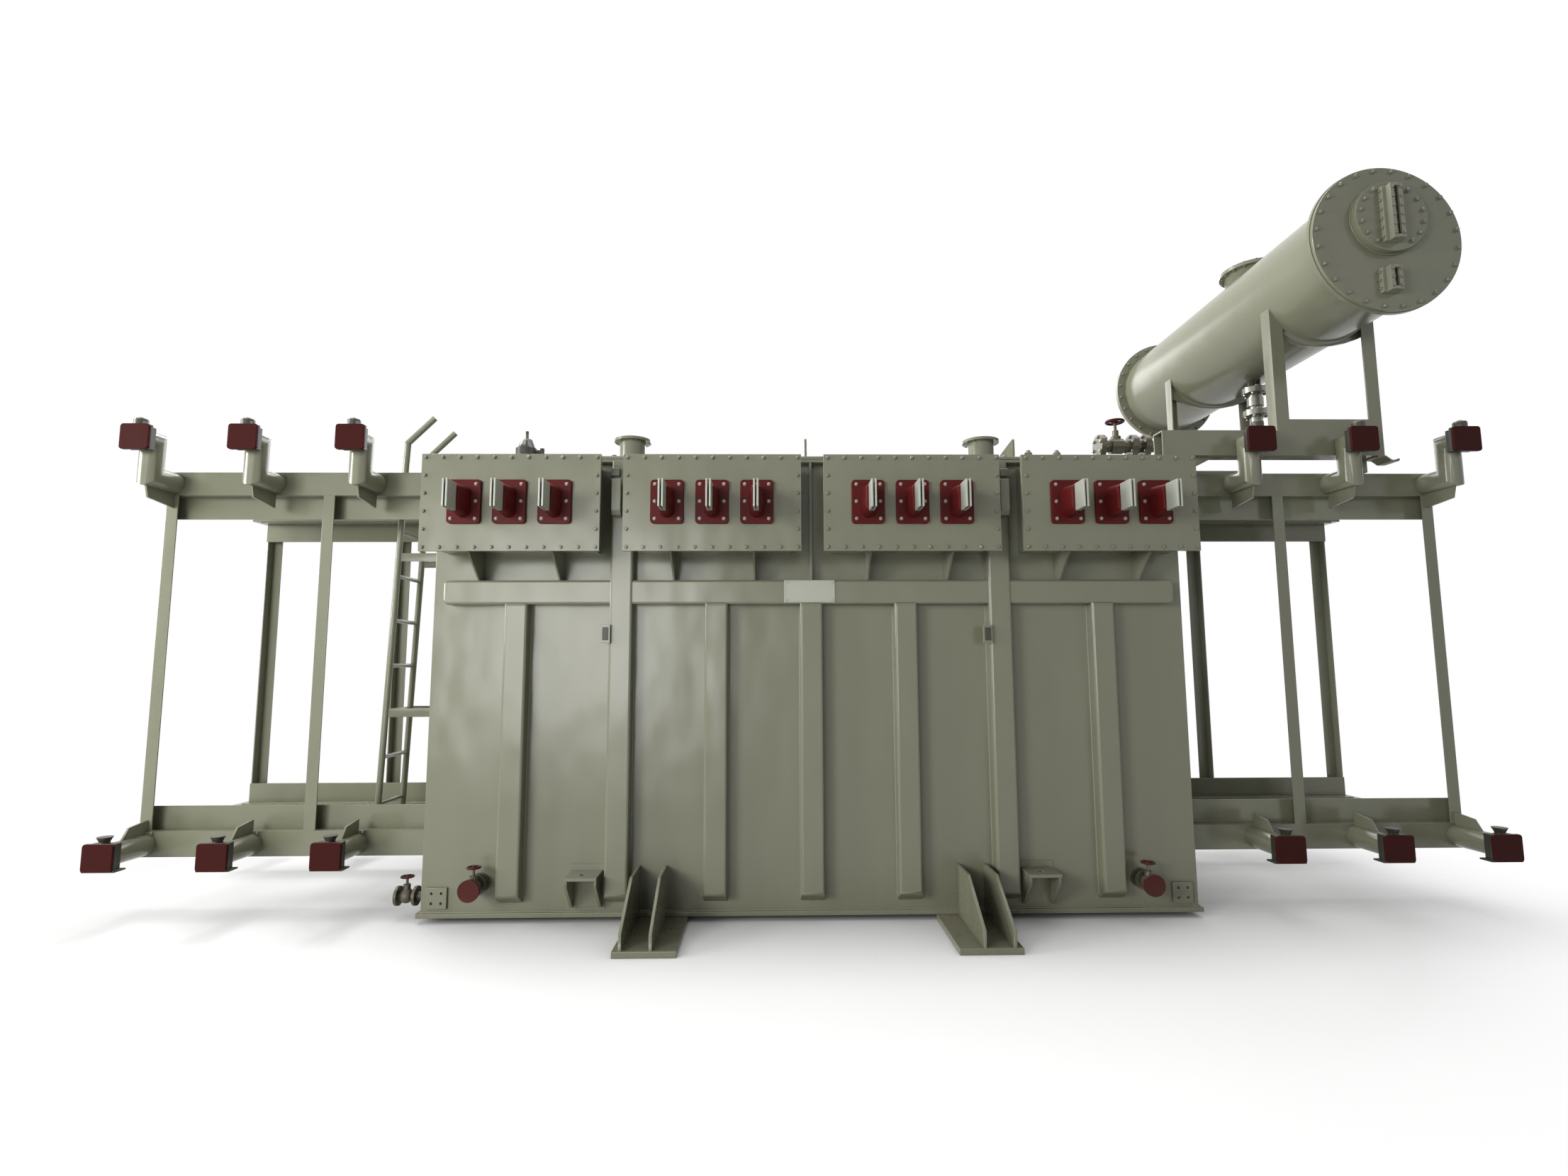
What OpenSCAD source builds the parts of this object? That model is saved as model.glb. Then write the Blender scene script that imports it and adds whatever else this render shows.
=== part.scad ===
// Inverter duty transformer with four low-voltage chambers, blanked cooling headers and a side conservator.
// Millimetres, X across the front, Y from front to back, Z up, origin on the ground under the tank's middle.

/* [Tank] */
// Width of the tank across the front
tank_w = 4070; // [3600:10:4600]
// Depth of the tank from front wall to rear wall
tank_d = 1280; // [1100:10:1500]
// Height of the top of the tank's rim above the ground
rim_top = 2445; // [2435:1:2460]
// Width of the rim that the cover is bolted to
rim_w = 60; // [40:1:70]
// Thickness of the rim and of the cover
rim_t = 18; // [12:1:24]
// Thickness of the base plate
base_t = 25; // [15:1:35]
// How far the base plate stands out beyond the walls
base_lip = 18; // [5:1:30]

/* [Skids] */
// Distance from the middle of the tank to the middle of each skid plate
skid_x = 797; // [600:1:900]
// Width of a skid plate
skid_w = 298; // [270:1:400]
// Length of a skid plate from front to back
skid_l = 2260; // [2000:10:2316]
// Thickness of a skid plate
skid_t = 30; // [20:1:40]
// Height of the top of the skid gussets
skid_gusset_top = 285; // [200:5:400]
// Thickness of a skid gusset
skid_gusset_t = 16; // [8:1:30]
// Distance between the two gussets at a skid's end
skid_gusset_gap = 140; // [80:1:180]
// How far the gusset pair is set outwards from the middle of the skid
skid_gusset_shift = 41; // [0:1:50]

/* [Stiffeners] */
// Width of a wall stiffener
stiff_w = 122; // [80:1:130]
// How far a stiffener stands out from the wall
stiff_d = 75; // [40:1:100]
// Height of the middle of the level stiffener
stiff_z = 1715; // [1600:5:1780]
// Height of the level stiffener's face
stiff_h = 130; // [80:1:160]
// Spacing of the upright stiffeners
stiff_pitch = 507; // [490:1:525]
// Height of the lower end of the upright stiffeners
stiff_foot = 102; // [80:1:200]
// Rise of the bevel at the lower end of an upright stiffener
stiff_bevel = 48; // [20:1:80]
// How far the full-height stiffeners stand proud of the others
stiff_proud = 6; // [0:1:15]
// Distance from the tank's end to the end of the level stiffener
level_inset = 77; // [40:1:120]
// Distance from the tank's end to the middle of the outermost upright
outer_inset = 465; // [420:1:500]
// Thickness of the rib between the middle chambers
rib_t = 12; // [8:1:20]
// How far that rib stands out from the wall
rib_d = 60; // [30:1:75]

/* [Lifting hooks] */
// Distance from the middle of the tank to a hook
hook_x = 1034; // [1010:1:1045]
// Thickness of a hook
hook_t = 50; // [30:1:60]
// How far a hook stands out from the wall
hook_reach = 160; // [130:1:200]
// Height of the lower end of a hook
hook_low = 2117; // [2050:1:2160]
// Height of the tip of a hook
hook_tip = 2311; // [2260:1:2330]

/* [Low-voltage chambers] */
// Width of a chamber's cover plate
lv_w = 922; // [880:1:960]
// Height of a chamber's cover plate
lv_h = 509; // [480:1:520]
// Spacing of the chambers
lv_pitch = 1038; // [1020:1:1060]
// Height of the underside of the chambers
lv_z = 1910; // [1890:1:1915]
// How far the cover plates stand out from the tank wall
lv_reach = 250; // [200:1:300]
// Thickness of a cover plate
lv_plate_t = 12; // [6:1:20]
// How far a chamber's side is set in from the edge of its cover plate
lv_inset = 50; // [40:1:70]
// How far a chamber's top and underside are set in from the edge of its cover plate
lv_lip = 20; // [10:1:30]
// Distance from the middle of a chamber to a gusset under it
lv_gusset_x = 215; // [150:1:300]
// Thickness of a gusset under a chamber
lv_gusset_t = 10; // [6:1:16]

/* [Bushings] */
// Spacing of the bushings
bushing_pitch = 231; // [200:1:260]
// Width of a bushing flange
bushing_w = 171; // [140:1:190]
// Height of a bushing flange
bushing_h = 229; // [200:1:260]
// Thickness of a bushing flange
bushing_t = 20; // [10:1:30]
// Corner radius of a bushing flange
bushing_r = 18; // [5:1:30]
// Width of the boss where it leaves the flange
boss_w = 80; // [70:1:120]
// Width of the boss at its tip
boss_tip = 52; // [40:1:69]
// Height of the boss
boss_h = 166; // [130:1:200]
// How far the boss stands out from the cover plate
boss_reach = 137; // [100:1:150]
// How far the terminals stand out from the cover plate
terminal_reach = 243; // [200:1:280]
// Height of a terminal
terminal_h = 138; // [80:1:160]
// How far a terminal's middle lies below the middle of its bushing
terminal_drop = 4; // [0:1:15]
// Thickness of one bar of a terminal
terminal_t = 9; // [5:1:15]
// Gap between the two bars of a terminal
terminal_gap = 8; // [4:1:20]

/* [Cooling headers] */
// Length of a header from the tank's end wall
header_l = 1665; // [1625:1:1800]
// Distance from the middle plane to the outer face of a header
header_y = 463; // [450:1:470]
// Depth of a header duct
header_d = 150; // [120:1:180]
// Height of a header duct
header_h = 135; // [115:1:148]
// Height of the underside of the bottom header
header_low = 300; // [250:1:400]
// Height of the underside of the top header
header_high = 2296; // [2250:1:2340]
// Height of a rail beside a header
rail_h = 126; // [80:1:160]
// How far a rail is set back from the header's face
rail_back = 65; // [40:1:80]
// Width of the rail's flange on the header
rail_flange = 75; // [50:1:80]
// Leg of a post angle
post_leg = 65; // [50:1:80]
// Thickness of angle sections
angle_t = 8; // [5:1:12]
// Distance from the tank's end wall to the outer side of the outer post
post_out_l = 1615; // [1500:1:1620]
// Distance from the tank's end wall to the outer side of the inner post
post_in_l = 734; // [600:1:900]

/* [Radiator outlets] */
// Distance from the tank's end wall to the first pipe stub
stub_lead = 437; // [400:1:470]
// Spacing of the pipe stubs
stub_pitch = 569; // [500:1:580]
// Outside diameter of a pipe stub
stub_od = 114; // [90:1:118]
// Thickness of a gusset on a stub
stub_gusset_t = 10; // [6:1:16]
// Distance from the middle plane to the blanked faces
blank_y = 760; // [750:1:800]
// Height of the middle of the upper outlets
outlet_z = 2552; // [2530:1:2600]
// Width of a blank plate
blank_w = 155; // [145:1:180]
// Height of a blank plate
blank_h = 140; // [133:1:160]
// Thickness of a blank plate
blank_t = 14; // [8:1:20]
// Depth of a radiator valve behind its blank plate
valve_d = 56; // [45:1:60]

/* [Conservator] */
// Distance from the tank's end wall to the conservator's axis
cons_out = 957; // [900:1:1000]
// Height of the conservator's axis
cons_z = 3522; // [3450:1:3650]
// Outside diameter of the conservator's shell
cons_od = 670; // [640:2:700]
// Outside diameter of the conservator's end flanges
cons_flange = 794; // [770:1:840]
// Thickness of a conservator flange
cons_flange_t = 20; // [12:1:25]
// Length of the conservator over its end covers
cons_l = 2224; // [1900:2:2300]
// How far the conservator is set back from the tank's middle
cons_back = 47; // [0:1:80]
// Thickness of the conservator's shell
cons_t = 8; // [4:1:15]
// Diameter of the raised pad on the front cover
pad_od = 380; // [320:1:400]
// How far the raised pad stands out
pad_reach = 40; // [20:1:60]
// Height of the pad's middle above the conservator's axis
pad_rise = 100; // [80:1:150]
// Width of a gauge
gauge_w = 90; // [70:1:110]
// Length of the long gauge
gauge_l = 296; // [240:1:300]
// Height of the short gauge
short_gauge_l = 132; // [100:1:160]
// Distance from the conservator's middle down to the short gauge
short_gauge_drop = 170; // [150:1:200]
// How far the gauges lie to the left of the middle of the cover
gauge_aside = 18; // [0:1:40]
// How far a gauge stands out
gauge_reach = 54; // [30:1:80]
// Diameter of the manhole cover
manhole_od = 372; // [345:1:420]
// Diameter of the manhole's neck
neck_od = 310; // [260:1:330]
// Height of the manhole's neck above the shell
neck_h = 47; // [20:1:60]
// Thickness of the manhole cover
manhole_t = 22; // [12:1:30]

/* [Conservator support] */
// Distance from the middle plane to the outer face of a support
support_y = 575; // [572:1:590]
// Height of a support beam
beam_h = 147; // [120:1:160]
// Width of a support beam
beam_w = 100; // [90:1:110]
// Height of the underside of the support beams
beam_z = 2507; // [2490:1:2530]
// Wall of a support beam
beam_t = 8; // [5:1:12]
// Width of an angle of the support
support_leg = 75; // [60:1:90]
// Distance from the conservator's axis to the outer side of a support post
support_half = 306; // [290:1:330]
// Height of the tie between the support posts
tie_h = 66; // [40:1:90]
// Width of a support leg
leg_w = 60; // [40:1:70]

/* [Pipework] */
// Outside diameter of the oil pipe
pipe_od = 76; // [60:1:90]
// Diameter of the oil pipe's flanges
pipe_flange = 150; // [120:1:180]
// Thickness of one flange of the oil pipe
pipe_flange_t = 18; // [12:1:24]
// Height of the level run of the oil pipe
pipe_z = 2745; // [2700:1:2790]
// How far the oil pipe lies behind the middle plane
pipe_y = 50; // [0:1:90]
// Radius of the oil pipe's bend
pipe_bend = 110; // [90:1:120]
// Distance from the tank's end wall back to the blanked end of the oil pipe
pipe_back = 110; // [50:1:200]
// Length of the shut-off valve between its flanges
gate_l = 174; // [150:1:220]
// Length of the valve under the conservator between its flanges
drop_valve_l = 116; // [90:1:130]
// Diameter of the shut-off valve's handwheel
wheel_od = 122; // [80:1:150]
// Height of the handwheel above the middle of the pipe
wheel_rise = 166; // [140:1:200]

/* [Drain and filter valves] */
// Height of the drain valves
drain_z = 205; // [180:1:260]
// Distance from the tank's end to a drain valve
drain_inset = 305; // [260:1:330]
// Diameter of a drain valve's flanges
drain_flange = 120; // [100:1:140]
// How far a drain valve stands out from the wall
drain_reach = 160; // [150:1:180]
// Height of the filter valve
filter_z = 115; // [110:1:150]
// Distance from the front wall to the filter valve
filter_inset = 90; // [70:1:150]
// Diameter of the filter valve's flanges
filter_flange = 100; // [80:1:110]

/* [Jacking and earth pads] */
// Distance from the middle of a full-height upright to the middle of a jacking pad
jack_aside = 162; // [155:1:180]
// Width of a jacking pad
jack_w = 164; // [140:1:180]
// How far a jacking pad stands out from the wall
jack_reach = 160; // [140:1:200]
// Height of the top of a jacking pad
jack_top = 265; // [240:1:290]
// Thickness of a jacking pad's shelf
jack_t = 16; // [10:1:25]
// Depth of the gussets under a jacking pad's shelf
jack_h = 165; // [120:1:200]
// Diameter of the hole in a jacking pad
jack_hole = 30; // [20:1:40]
// Distance from the tank's end to the middle of an earth pad
earth_inset = 85; // [60:1:100]
// Height of the middle of an earth pad
earth_z = 129; // [112:1:150]
// Width and height of an earth pad
earth_w = 106; // [90:1:110]
// Thickness of an earth pad
earth_t = 14; // [8:1:20]
// Spacing of an earth pad's holes
earth_pitch = 50; // [40:1:60]
// Diameter of an earth pad's holes
earth_hole = 14; // [10:1:18]

/* [Cover fittings] */
// Distance from the tank's end to the pressure relief device
relief_inset = 397; // [350:1:450]
// Distance from the front wall to the pressure relief device
relief_back = 220; // [180:1:260]
// Diameter of the relief device's body
relief_od = 122; // [100:1:150]
// Height of the relief device's body
relief_h = 118; // [90:1:140]
// Height of the relief device's pin above the cover
relief_pin = 224; // [190:1:250]
// Distance from the middle of the tank to a cover nozzle
nozzle_x = 1025; // [990:1:1060]
// Distance from the right nozzle to the lifting lug beside it
lug_aside = 102; // [80:1:140]
// Distance from the front wall to a cover nozzle
nozzle_back = 240; // [200:1:300]
// Outside diameter of a cover nozzle
nozzle_od = 150; // [120:1:160]
// Diameter of a nozzle flange
nozzle_flange = 212; // [200:1:240]
// Height of a nozzle over its flange
nozzle_h = 176; // [120:1:220]
// Thickness of a nozzle flange
nozzle_t = 14; // [10:1:20]
// Diameter of the bolt circle of a nozzle flange
nozzle_circle = 182; // [178:1:184]
// Diameter of a bolt hole in a nozzle flange
nozzle_hole = 14; // [10:1:16]
// Thickness of a cover lug
lug_t = 15; // [10:1:25]
// Length of a cover lug from front to back
lug_l = 250; // [200:1:300]
// Height of a cover lug
lug_h = 102; // [80:1:130]

/* [Ladder] */
// Distance from the middle plane to a stringer
ladder_half = 150; // [130:1:200]
// Spacing of the rungs
rung_pitch = 270; // [220:5:320]
// Outside diameter of a stringer
stringer_od = 36; // [26:1:40]
// Outside diameter of a rung
rung_od = 24; // [16:1:25]
// Distance from the tank's end wall to the foot of the ladder
ladder_out = 498; // [400:1:550]
// Height of the foot of the ladder
ladder_z = 420; // [350:1:500]
// Length of the ladder's straight part
ladder_l = 2280; // [1900:10:2400]
// Length of the bent top of a stringer
ladder_top = 232; // [180:1:260]
// Height of the lower wall brackets above the ladder's foot
bracket_low = 630; // [400:5:800]
// Distance of the upper wall brackets below the ladder's bend
bracket_high = 715; // [400:5:900]

/* [Nameplate] */
// Width of the nameplate
nameplate_w = 272; // [150:1:300]
// Height of the nameplate
nameplate_h = 120; // [60:1:122]

/* [Hidden] */
$fn = 48;
tank_x = tank_w / 2;
tank_y = tank_d / 2;
base_z = skid_t;
wall_z = base_z + base_t;
rim_under = rim_top - rim_t;
cover_top = rim_top + rim_t;
level_low = stiff_z - stiff_h / 2;
level_top = stiff_z + stiff_h / 2;
lv_front = tank_y + lv_reach;
lv_mid = lv_z + lv_h / 2;
header_end = tank_x + header_l;
header_low_mid = header_low + header_h / 2;
header_high_mid = header_high + header_h / 2;
header_low_top = header_low + header_h;
header_high_top = header_high + header_h;
rail_y = header_y - rail_back;
post_out = tank_x + post_out_l;
post_in = tank_x + post_in_l;
valve_back = blank_t + valve_d;
riser_y = blank_y - valve_back - stub_od / 2;
stub_first = tank_x + stub_lead;
stub_xs = [stub_first, stub_first + stub_pitch, stub_first + 2 * stub_pitch];
lv_xs = [-1.5 * lv_pitch, -0.5 * lv_pitch, 0.5 * lv_pitch, 1.5 * lv_pitch];
full_x = 2 * stiff_pitch;
outer_x = tank_x - outer_inset;
short_xs = [-outer_x, -stiff_pitch, 0, stiff_pitch, outer_x];
cons_x = tank_x + cons_out;
cons_r = cons_od / 2;
cons_front = -cons_l / 2 + cons_back;
cons_rear = cons_l / 2 + cons_back;
beam_top = beam_z + beam_h;
beam_in = tank_x - 16;
support_in = cons_x - support_half;
beam_out = cons_x + support_half;
pipe_end = tank_x - pipe_back;
drain_x = tank_x - drain_inset;
jack_x = full_x + jack_aside;
earth_x = tank_x - earth_inset;
ladder_x = -tank_x - ladder_out;
ladder_lean = 1.86;
ladder_bend = 43;
lug_xs = [-25, nozzle_x + lug_aside];
body_colour = [0.45, 0.45, 0.40];
dark_colour = [0.36, 0.36, 0.32];
blank_colour = [0.33, 0.12, 0.12];
metal_colour = [0.66, 0.66, 0.64];
brass_colour = [0.48, 0.45, 0.38];

// Shared shapes

// A block between two corners
module span(low, high) {
    translate(low) cube([high[0] - low[0], high[1] - low[1], high[2] - low[2]]);
}

// A plate cut to a (Y, Z) outline, its thickness along X, centred on x
module plate_yz(outline, t, x) {
    translate([x - t / 2, 0, 0]) rotate([90, 0, 90]) linear_extrude(t) polygon(outline);
}

// A plate cut to an (X, Z) outline, its thickness along Y, from y to y + t
module plate_xz(outline, t, y) {
    translate([0, y + t, 0]) rotate([90, 0, 0]) linear_extrude(t) polygon(outline);
}

// A round bar along X, Y or Z from a point
module bar_x(d, l, at) { translate(at) rotate([0, 90, 0]) cylinder(d = d, h = l); }
module bar_y(d, l, at) { translate(at) rotate([-90, 0, 0]) cylinder(d = d, h = l); }
module bar_z(d, l, at) { translate(at) cylinder(d = d, h = l); }

// A shape and its copy on the other side of the middle plane in X
module both_sides() { children(); mirror([1, 0, 0]) children(); }

// A shape and its copy on the rear
module front_and_rear() { children(); mirror([0, 1, 0]) children(); }

// A pipe bend about Z, from the X axis through an angle
module elbow(r, d, turn) rotate_extrude(angle = turn) translate([r, 0]) circle(d = d);

// Handwheel with four spokes, on a spindle along Z
module handwheel(d, at) {
    translate(at) {
        rotate_extrude() translate([d / 2 - d * 0.07, 0]) circle(d = d * 0.14);
        for (turn = [0, 90]) rotate([0, 0, turn])
            translate([-d * 0.43, -d * 0.045, -d * 0.04]) cube([d * 0.86, d * 0.09, d * 0.08]);
        translate([0, 0, -d * 0.1]) cylinder(d = d * 0.28, h = d * 0.2);
    }
}

// An outline with round corners, centred
module rounded_outline(w, h, r) {
    square([w - 2 * r, h], center = true);
    square([w, h - 2 * r], center = true);
    for (x = [-1, 1]) for (y = [-1, 1]) translate([x * (w / 2 - r), y * (h / 2 - r)]) circle(r);
}

// Base, tank and cover

module base_skids() color(body_colour) both_sides() skid();

module skid() {
    toe = skid_l / 2 - 5;
    heel = tank_y + base_lip;
    span([skid_x - skid_w / 2, -skid_l / 2, 0], [skid_x + skid_w / 2, skid_l / 2, skid_t]);
    for (side = [-1, 1]) front_and_rear()
        plate_yz([[-tank_y, wall_z], [-tank_y, skid_gusset_top], [-tank_y - 220, skid_gusset_top],
            [-toe, skid_t + 75], [-toe, skid_t - 1], [-heel, skid_t - 1], [-heel, wall_z]],
            skid_gusset_t, skid_x + skid_gusset_shift + side * skid_gusset_gap / 2);
}

module tank_base_plate() color(body_colour)
    span([-tank_x - base_lip, -tank_y - base_lip, base_z], [tank_x + base_lip, tank_y + base_lip, wall_z]);

module tank_body() color(body_colour) {
    span([-tank_x, -tank_y, wall_z], [tank_x, tank_y, rim_top]);
    span([-tank_x - rim_w, -tank_y - rim_w, rim_under], [tank_x + rim_w, tank_y + rim_w, rim_top]);
}

module tank_cover() color(body_colour)
    span([-tank_x - rim_w, -tank_y - rim_w, rim_top], [tank_x + rim_w, tank_y + rim_w, cover_top]);

// Wall stiffeners

module front_stiffeners() color(body_colour) wall_stiffeners();

module rear_stiffeners() color(body_colour) mirror([0, 1, 0]) wall_stiffeners();

// One wall's stiffeners: a level one, uprights below it, and two full-height ones with hooks
module wall_stiffeners() {
    level_end = tank_x - level_inset;
    span([-level_end, -tank_y - stiff_d, level_low], [level_end, -tank_y, level_top]);
    for (x = short_xs) upright(x, stiff_z, stiff_d);
    for (x = [-full_x, full_x]) upright(x, rim_under, stiff_d + stiff_proud);
    span([-rib_t / 2, -tank_y - rib_d, level_top - 1], [rib_t / 2, -tank_y, rim_under]);
    both_sides() hook();
}

// An upright stiffener with a bevelled foot
module upright(x, top, out) plate_yz([[-tank_y, stiff_foot], [-tank_y - out, stiff_foot + stiff_bevel],
    [-tank_y - out, top], [-tank_y, top]], stiff_w, x);

// A lifting hook: a thick plate whose tip stands up in front of a notch, and a stop above it
module hook() {
    back = -tank_y - stiff_d;
    tip = -tank_y - hook_reach;
    notch = hook_tip - 61;
    plate_yz([[back, hook_low], [tip + 15, hook_low], [tip, hook_low + 25], [tip, hook_tip], [tip + 25, hook_tip],
        [tip + 35, notch], [back, notch]], hook_t, hook_x);
    span([hook_x - 5, back - 30, hook_tip + 30], [hook_x + 40, back, hook_tip + 73]);
}

// Low-voltage chambers, covers, bushings and terminals

// A chamber: its body, the flange behind its cover plate, and two gussets down to the level stiffener
module lv_chamber(x) color(body_colour) {
    flange_front = -lv_front + lv_plate_t;
    flange_back = flange_front + lv_plate_t;
    half = lv_w / 2;
    span([x - half + lv_inset, flange_front, lv_z + lv_lip], [x + half - lv_inset, -tank_y, lv_z + lv_h - lv_lip]);
    span([x - half, flange_front, lv_z], [x + half, flange_back, lv_z + lv_h]);
    for (side = [-lv_gusset_x, lv_gusset_x]) plate_yz([[-tank_y, lv_z + lv_lip + 1],
        [flange_back - 1, lv_z + lv_lip + 1], [flange_back - 1, lv_z], [-tank_y - stiff_d, level_top],
        [-tank_y, level_top]], lv_gusset_t, x + side);
}

module lv_chamber_1() lv_chamber(lv_xs[0]);
module lv_chamber_2() lv_chamber(lv_xs[1]);
module lv_chamber_3() lv_chamber(lv_xs[2]);
module lv_chamber_4() lv_chamber(lv_xs[3]);

module lv_cover(x) color(body_colour)
    span([x - lv_w / 2, -lv_front, lv_z], [x + lv_w / 2, -lv_front + lv_plate_t, lv_z + lv_h]);

module lv_cover_1() lv_cover(lv_xs[0]);
module lv_cover_2() lv_cover(lv_xs[1]);
module lv_cover_3() lv_cover(lv_xs[2]);
module lv_cover_4() lv_cover(lv_xs[3]);

// A shape at each of the twelve bushing places
module at_bushings() for (box = lv_xs) for (k = [-1, 0, 1])
    translate([box + k * bushing_pitch, -lv_front, lv_mid]) children();

module lv_bushings() color(blank_colour) at_bushings() bushing();

// A cast bushing: a flange with round corners and a tapered boss with round ends
module bushing() {
    boss_l = boss_reach - bushing_t + 1;
    straight = boss_h - boss_w;
    rotate([90, 0, 0]) linear_extrude(bushing_t) rounded_outline(bushing_w, bushing_h, bushing_r);
    translate([0, -bushing_t + 1, -terminal_drop]) {
        for (side = [-1, 1]) translate([0, 0, side * straight / 2])
            rotate([90, 0, 0]) cylinder(d1 = boss_w, d2 = boss_tip, h = boss_l);
        translate([0, 0, -straight / 2]) linear_extrude(straight) polygon([[-boss_w / 2, 0], [boss_w / 2, 0],
            [boss_tip / 2, -boss_l], [-boss_tip / 2, -boss_l]]);
    }
}

module lv_terminals() color(metal_colour) at_bushings() translate([0, 0, -terminal_drop]) terminal();

// A palm terminal of two parallel bars on a shared root
module terminal() {
    half = terminal_gap / 2 + terminal_t;
    low = -terminal_h / 2;
    span([-half, -boss_reach - 14, low], [half, -boss_reach, -low]);
    for (side = [-half, terminal_gap / 2])
        span([side, -terminal_reach, low], [side + terminal_t, -boss_reach - 13, -low]);
}

// Cooling headers

module left_front_headers() color(body_colour) mirror([1, 0, 0]) headers();
module left_rear_headers() color(body_colour) mirror([1, 0, 0]) mirror([0, 1, 0]) headers();
module right_front_headers() color(body_colour) headers();
module right_rear_headers() color(body_colour) mirror([0, 1, 0]) headers();

// The front right pair: bottom duct, top duct, their rails and their stubs
module headers() {
    for (z = [header_low, header_high])
        span([tank_x, -header_y, z], [header_end, -header_y + header_d, z + header_h]);
    rail(header_low_top, 1);
    rail(header_high, -1);
    for (x = stub_xs) {
        bottom_stub(x);
        top_stub(x);
    }
}

// An angle rail on a header, its flange against the duct
module rail(z, up) {
    translate([0, 0, z]) mirror([0, 0, up > 0 ? 0 : 1]) {
        span([tank_x, -rail_y, -1], [post_out, -rail_y + angle_t, rail_h]);
        span([tank_x, -rail_y, -1], [post_out, -rail_y + rail_flange, angle_t]);
    }
}

// A stub straight out of the bottom header, with a gusset on top
module bottom_stub(x) {
    stub_l = blank_y - valve_back - header_y;
    bar_y(stub_od, stub_l + 1, [x, -header_y - stub_l, header_low_mid]);
    plate_yz([[-header_y, header_low_mid], [-header_y, header_low_top + 62],
        [-header_y - stub_l + 107, header_low_top + 45], [-header_y - stub_l + 62, header_low_top - 20],
        [-header_y - stub_l + 62, header_low_mid]], stub_gusset_t, x);
}

// A stub out of the top header that turns up and then out again
module top_stub(x) {
    bar_y(stub_od, riser_y - header_y + 1, [x, -riser_y, header_high_mid]);
    bar_z(stub_od, outlet_z - header_high_mid, [x, -riser_y, header_high_mid]);
    bar_y(stub_od, blank_y - valve_back - riser_y, [x, -blank_y + valve_back, outlet_z]);
    mitre(x, header_high_mid);
    mitre(x, outlet_z);
    plate_yz([[-header_y, header_high_mid], [-header_y, header_high_mid - 140],
        [-riser_y - 10, header_high_mid - 118], [-riser_y - 30, header_high_mid - 40], [-riser_y, header_high_mid]],
        stub_gusset_t, x);
}

// The corner of a mitred bend, where an upright and a level pipe cross
module mitre(x, z) {
    intersection() {
        bar_y(stub_od, stub_od, [x, -riser_y - stub_od / 2, z]);
        bar_z(stub_od, stub_od, [x, -riser_y, z - stub_od / 2]);
    }
}

// Posts of angle section between the headers

module left_front_posts() color(body_colour) mirror([1, 0, 0]) posts();
module left_rear_posts() color(body_colour) mirror([1, 0, 0]) mirror([0, 1, 0]) posts();
module right_front_posts() color(body_colour) posts();
module right_rear_posts() color(body_colour) mirror([0, 1, 0]) posts();

module posts() for (x = [post_in, post_out]) {
    span([x - post_leg, -header_y, header_low_top], [x, -header_y + angle_t, header_high]);
    span([x - angle_t, -header_y, header_low_top], [x, -rail_y, header_high]);
}

// Shut-off valves and blank plates where radiators would be bolted on

module left_radiator_valves() color(dark_colour) mirror([1, 0, 0]) radiator_valves();
module right_radiator_valves() color(dark_colour) radiator_valves();

module radiator_valves() front_and_rear() for (x = stub_xs) {
    top_valve(x);
    bottom_valve(x);
}

// A valve's flange and body, from the blank plate back to its stub
module valve_block(flange, block) {
    span([-flange, blank_t, -flange + 6], [flange, blank_t + 20, flange - 6]);
    span([-block, blank_t + 19, -block], [block, valve_back, block]);
}

// An upper valve with a round plug on top
module top_valve(x) translate([x, -blank_y, outlet_z]) {
    valve_block(72, 60);
    bar_z(66, 40, [0, blank_t + 26, 58]);
}

// A lower valve with a lip below and a flared knob on top
module bottom_valve(x) translate([x, -blank_y, header_low_mid]) {
    valve_block(72, 64);
    span([-82, blank_t, -74], [82, valve_back + 14, -65]);
    translate([0, blank_t + 28, 63]) cylinder(d = 46, h = 12);
    translate([0, blank_t + 28, 74]) cylinder(d1 = 46, d2 = 70, h = 24);
}

module left_blanks() color(blank_colour) mirror([1, 0, 0]) blanks();
module right_blanks() color(blank_colour) blanks();

// Blank plates with cut corners, one on each valve
module blanks() {
    corners = [[-1, -0.8], [-0.82, -1], [0.82, -1], [1, -0.8], [1, 0.8], [0.82, 1], [-0.82, 1], [-1, 0.8]];
    front_and_rear() for (x = stub_xs) for (z = [outlet_z, header_low_mid])
        plate_xz([for (p = corners) [x + p[0] * blank_w / 2, z + p[1] * blank_h / 2]], blank_t, -blank_y);
}

// Conservator and its supports

module conservator_shell() color(body_colour) translate([cons_x, 0, cons_z]) difference() {
    union() {
        bar_y(cons_od, cons_l - 2 * cons_flange_t, [0, cons_front + cons_flange_t, 0]);
        for (y = [cons_front + cons_flange_t, cons_rear - 2 * cons_flange_t]) bar_y(cons_flange, cons_flange_t, [0, y, 0]);
        cylinder(d = neck_od, h = cons_r + neck_h);
    }
    bar_y(cons_od - 2 * cons_t, cons_l, [0, cons_front, 0]);
    cylinder(d = neck_od - 20, h = cons_r + neck_h + 1);
}

module conservator_front_cover() color(body_colour) translate([cons_x, cons_front, cons_z]) {
    bar_y(cons_flange - 8, cons_flange_t, [0, 0, 0]);
    bar_y(pad_od, pad_reach + 1, [0, -pad_reach, pad_rise]);
}

module conservator_rear_cover() color(body_colour)
    bar_y(cons_flange - 8, cons_flange_t, [cons_x, cons_rear - cons_flange_t, cons_z]);

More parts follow.
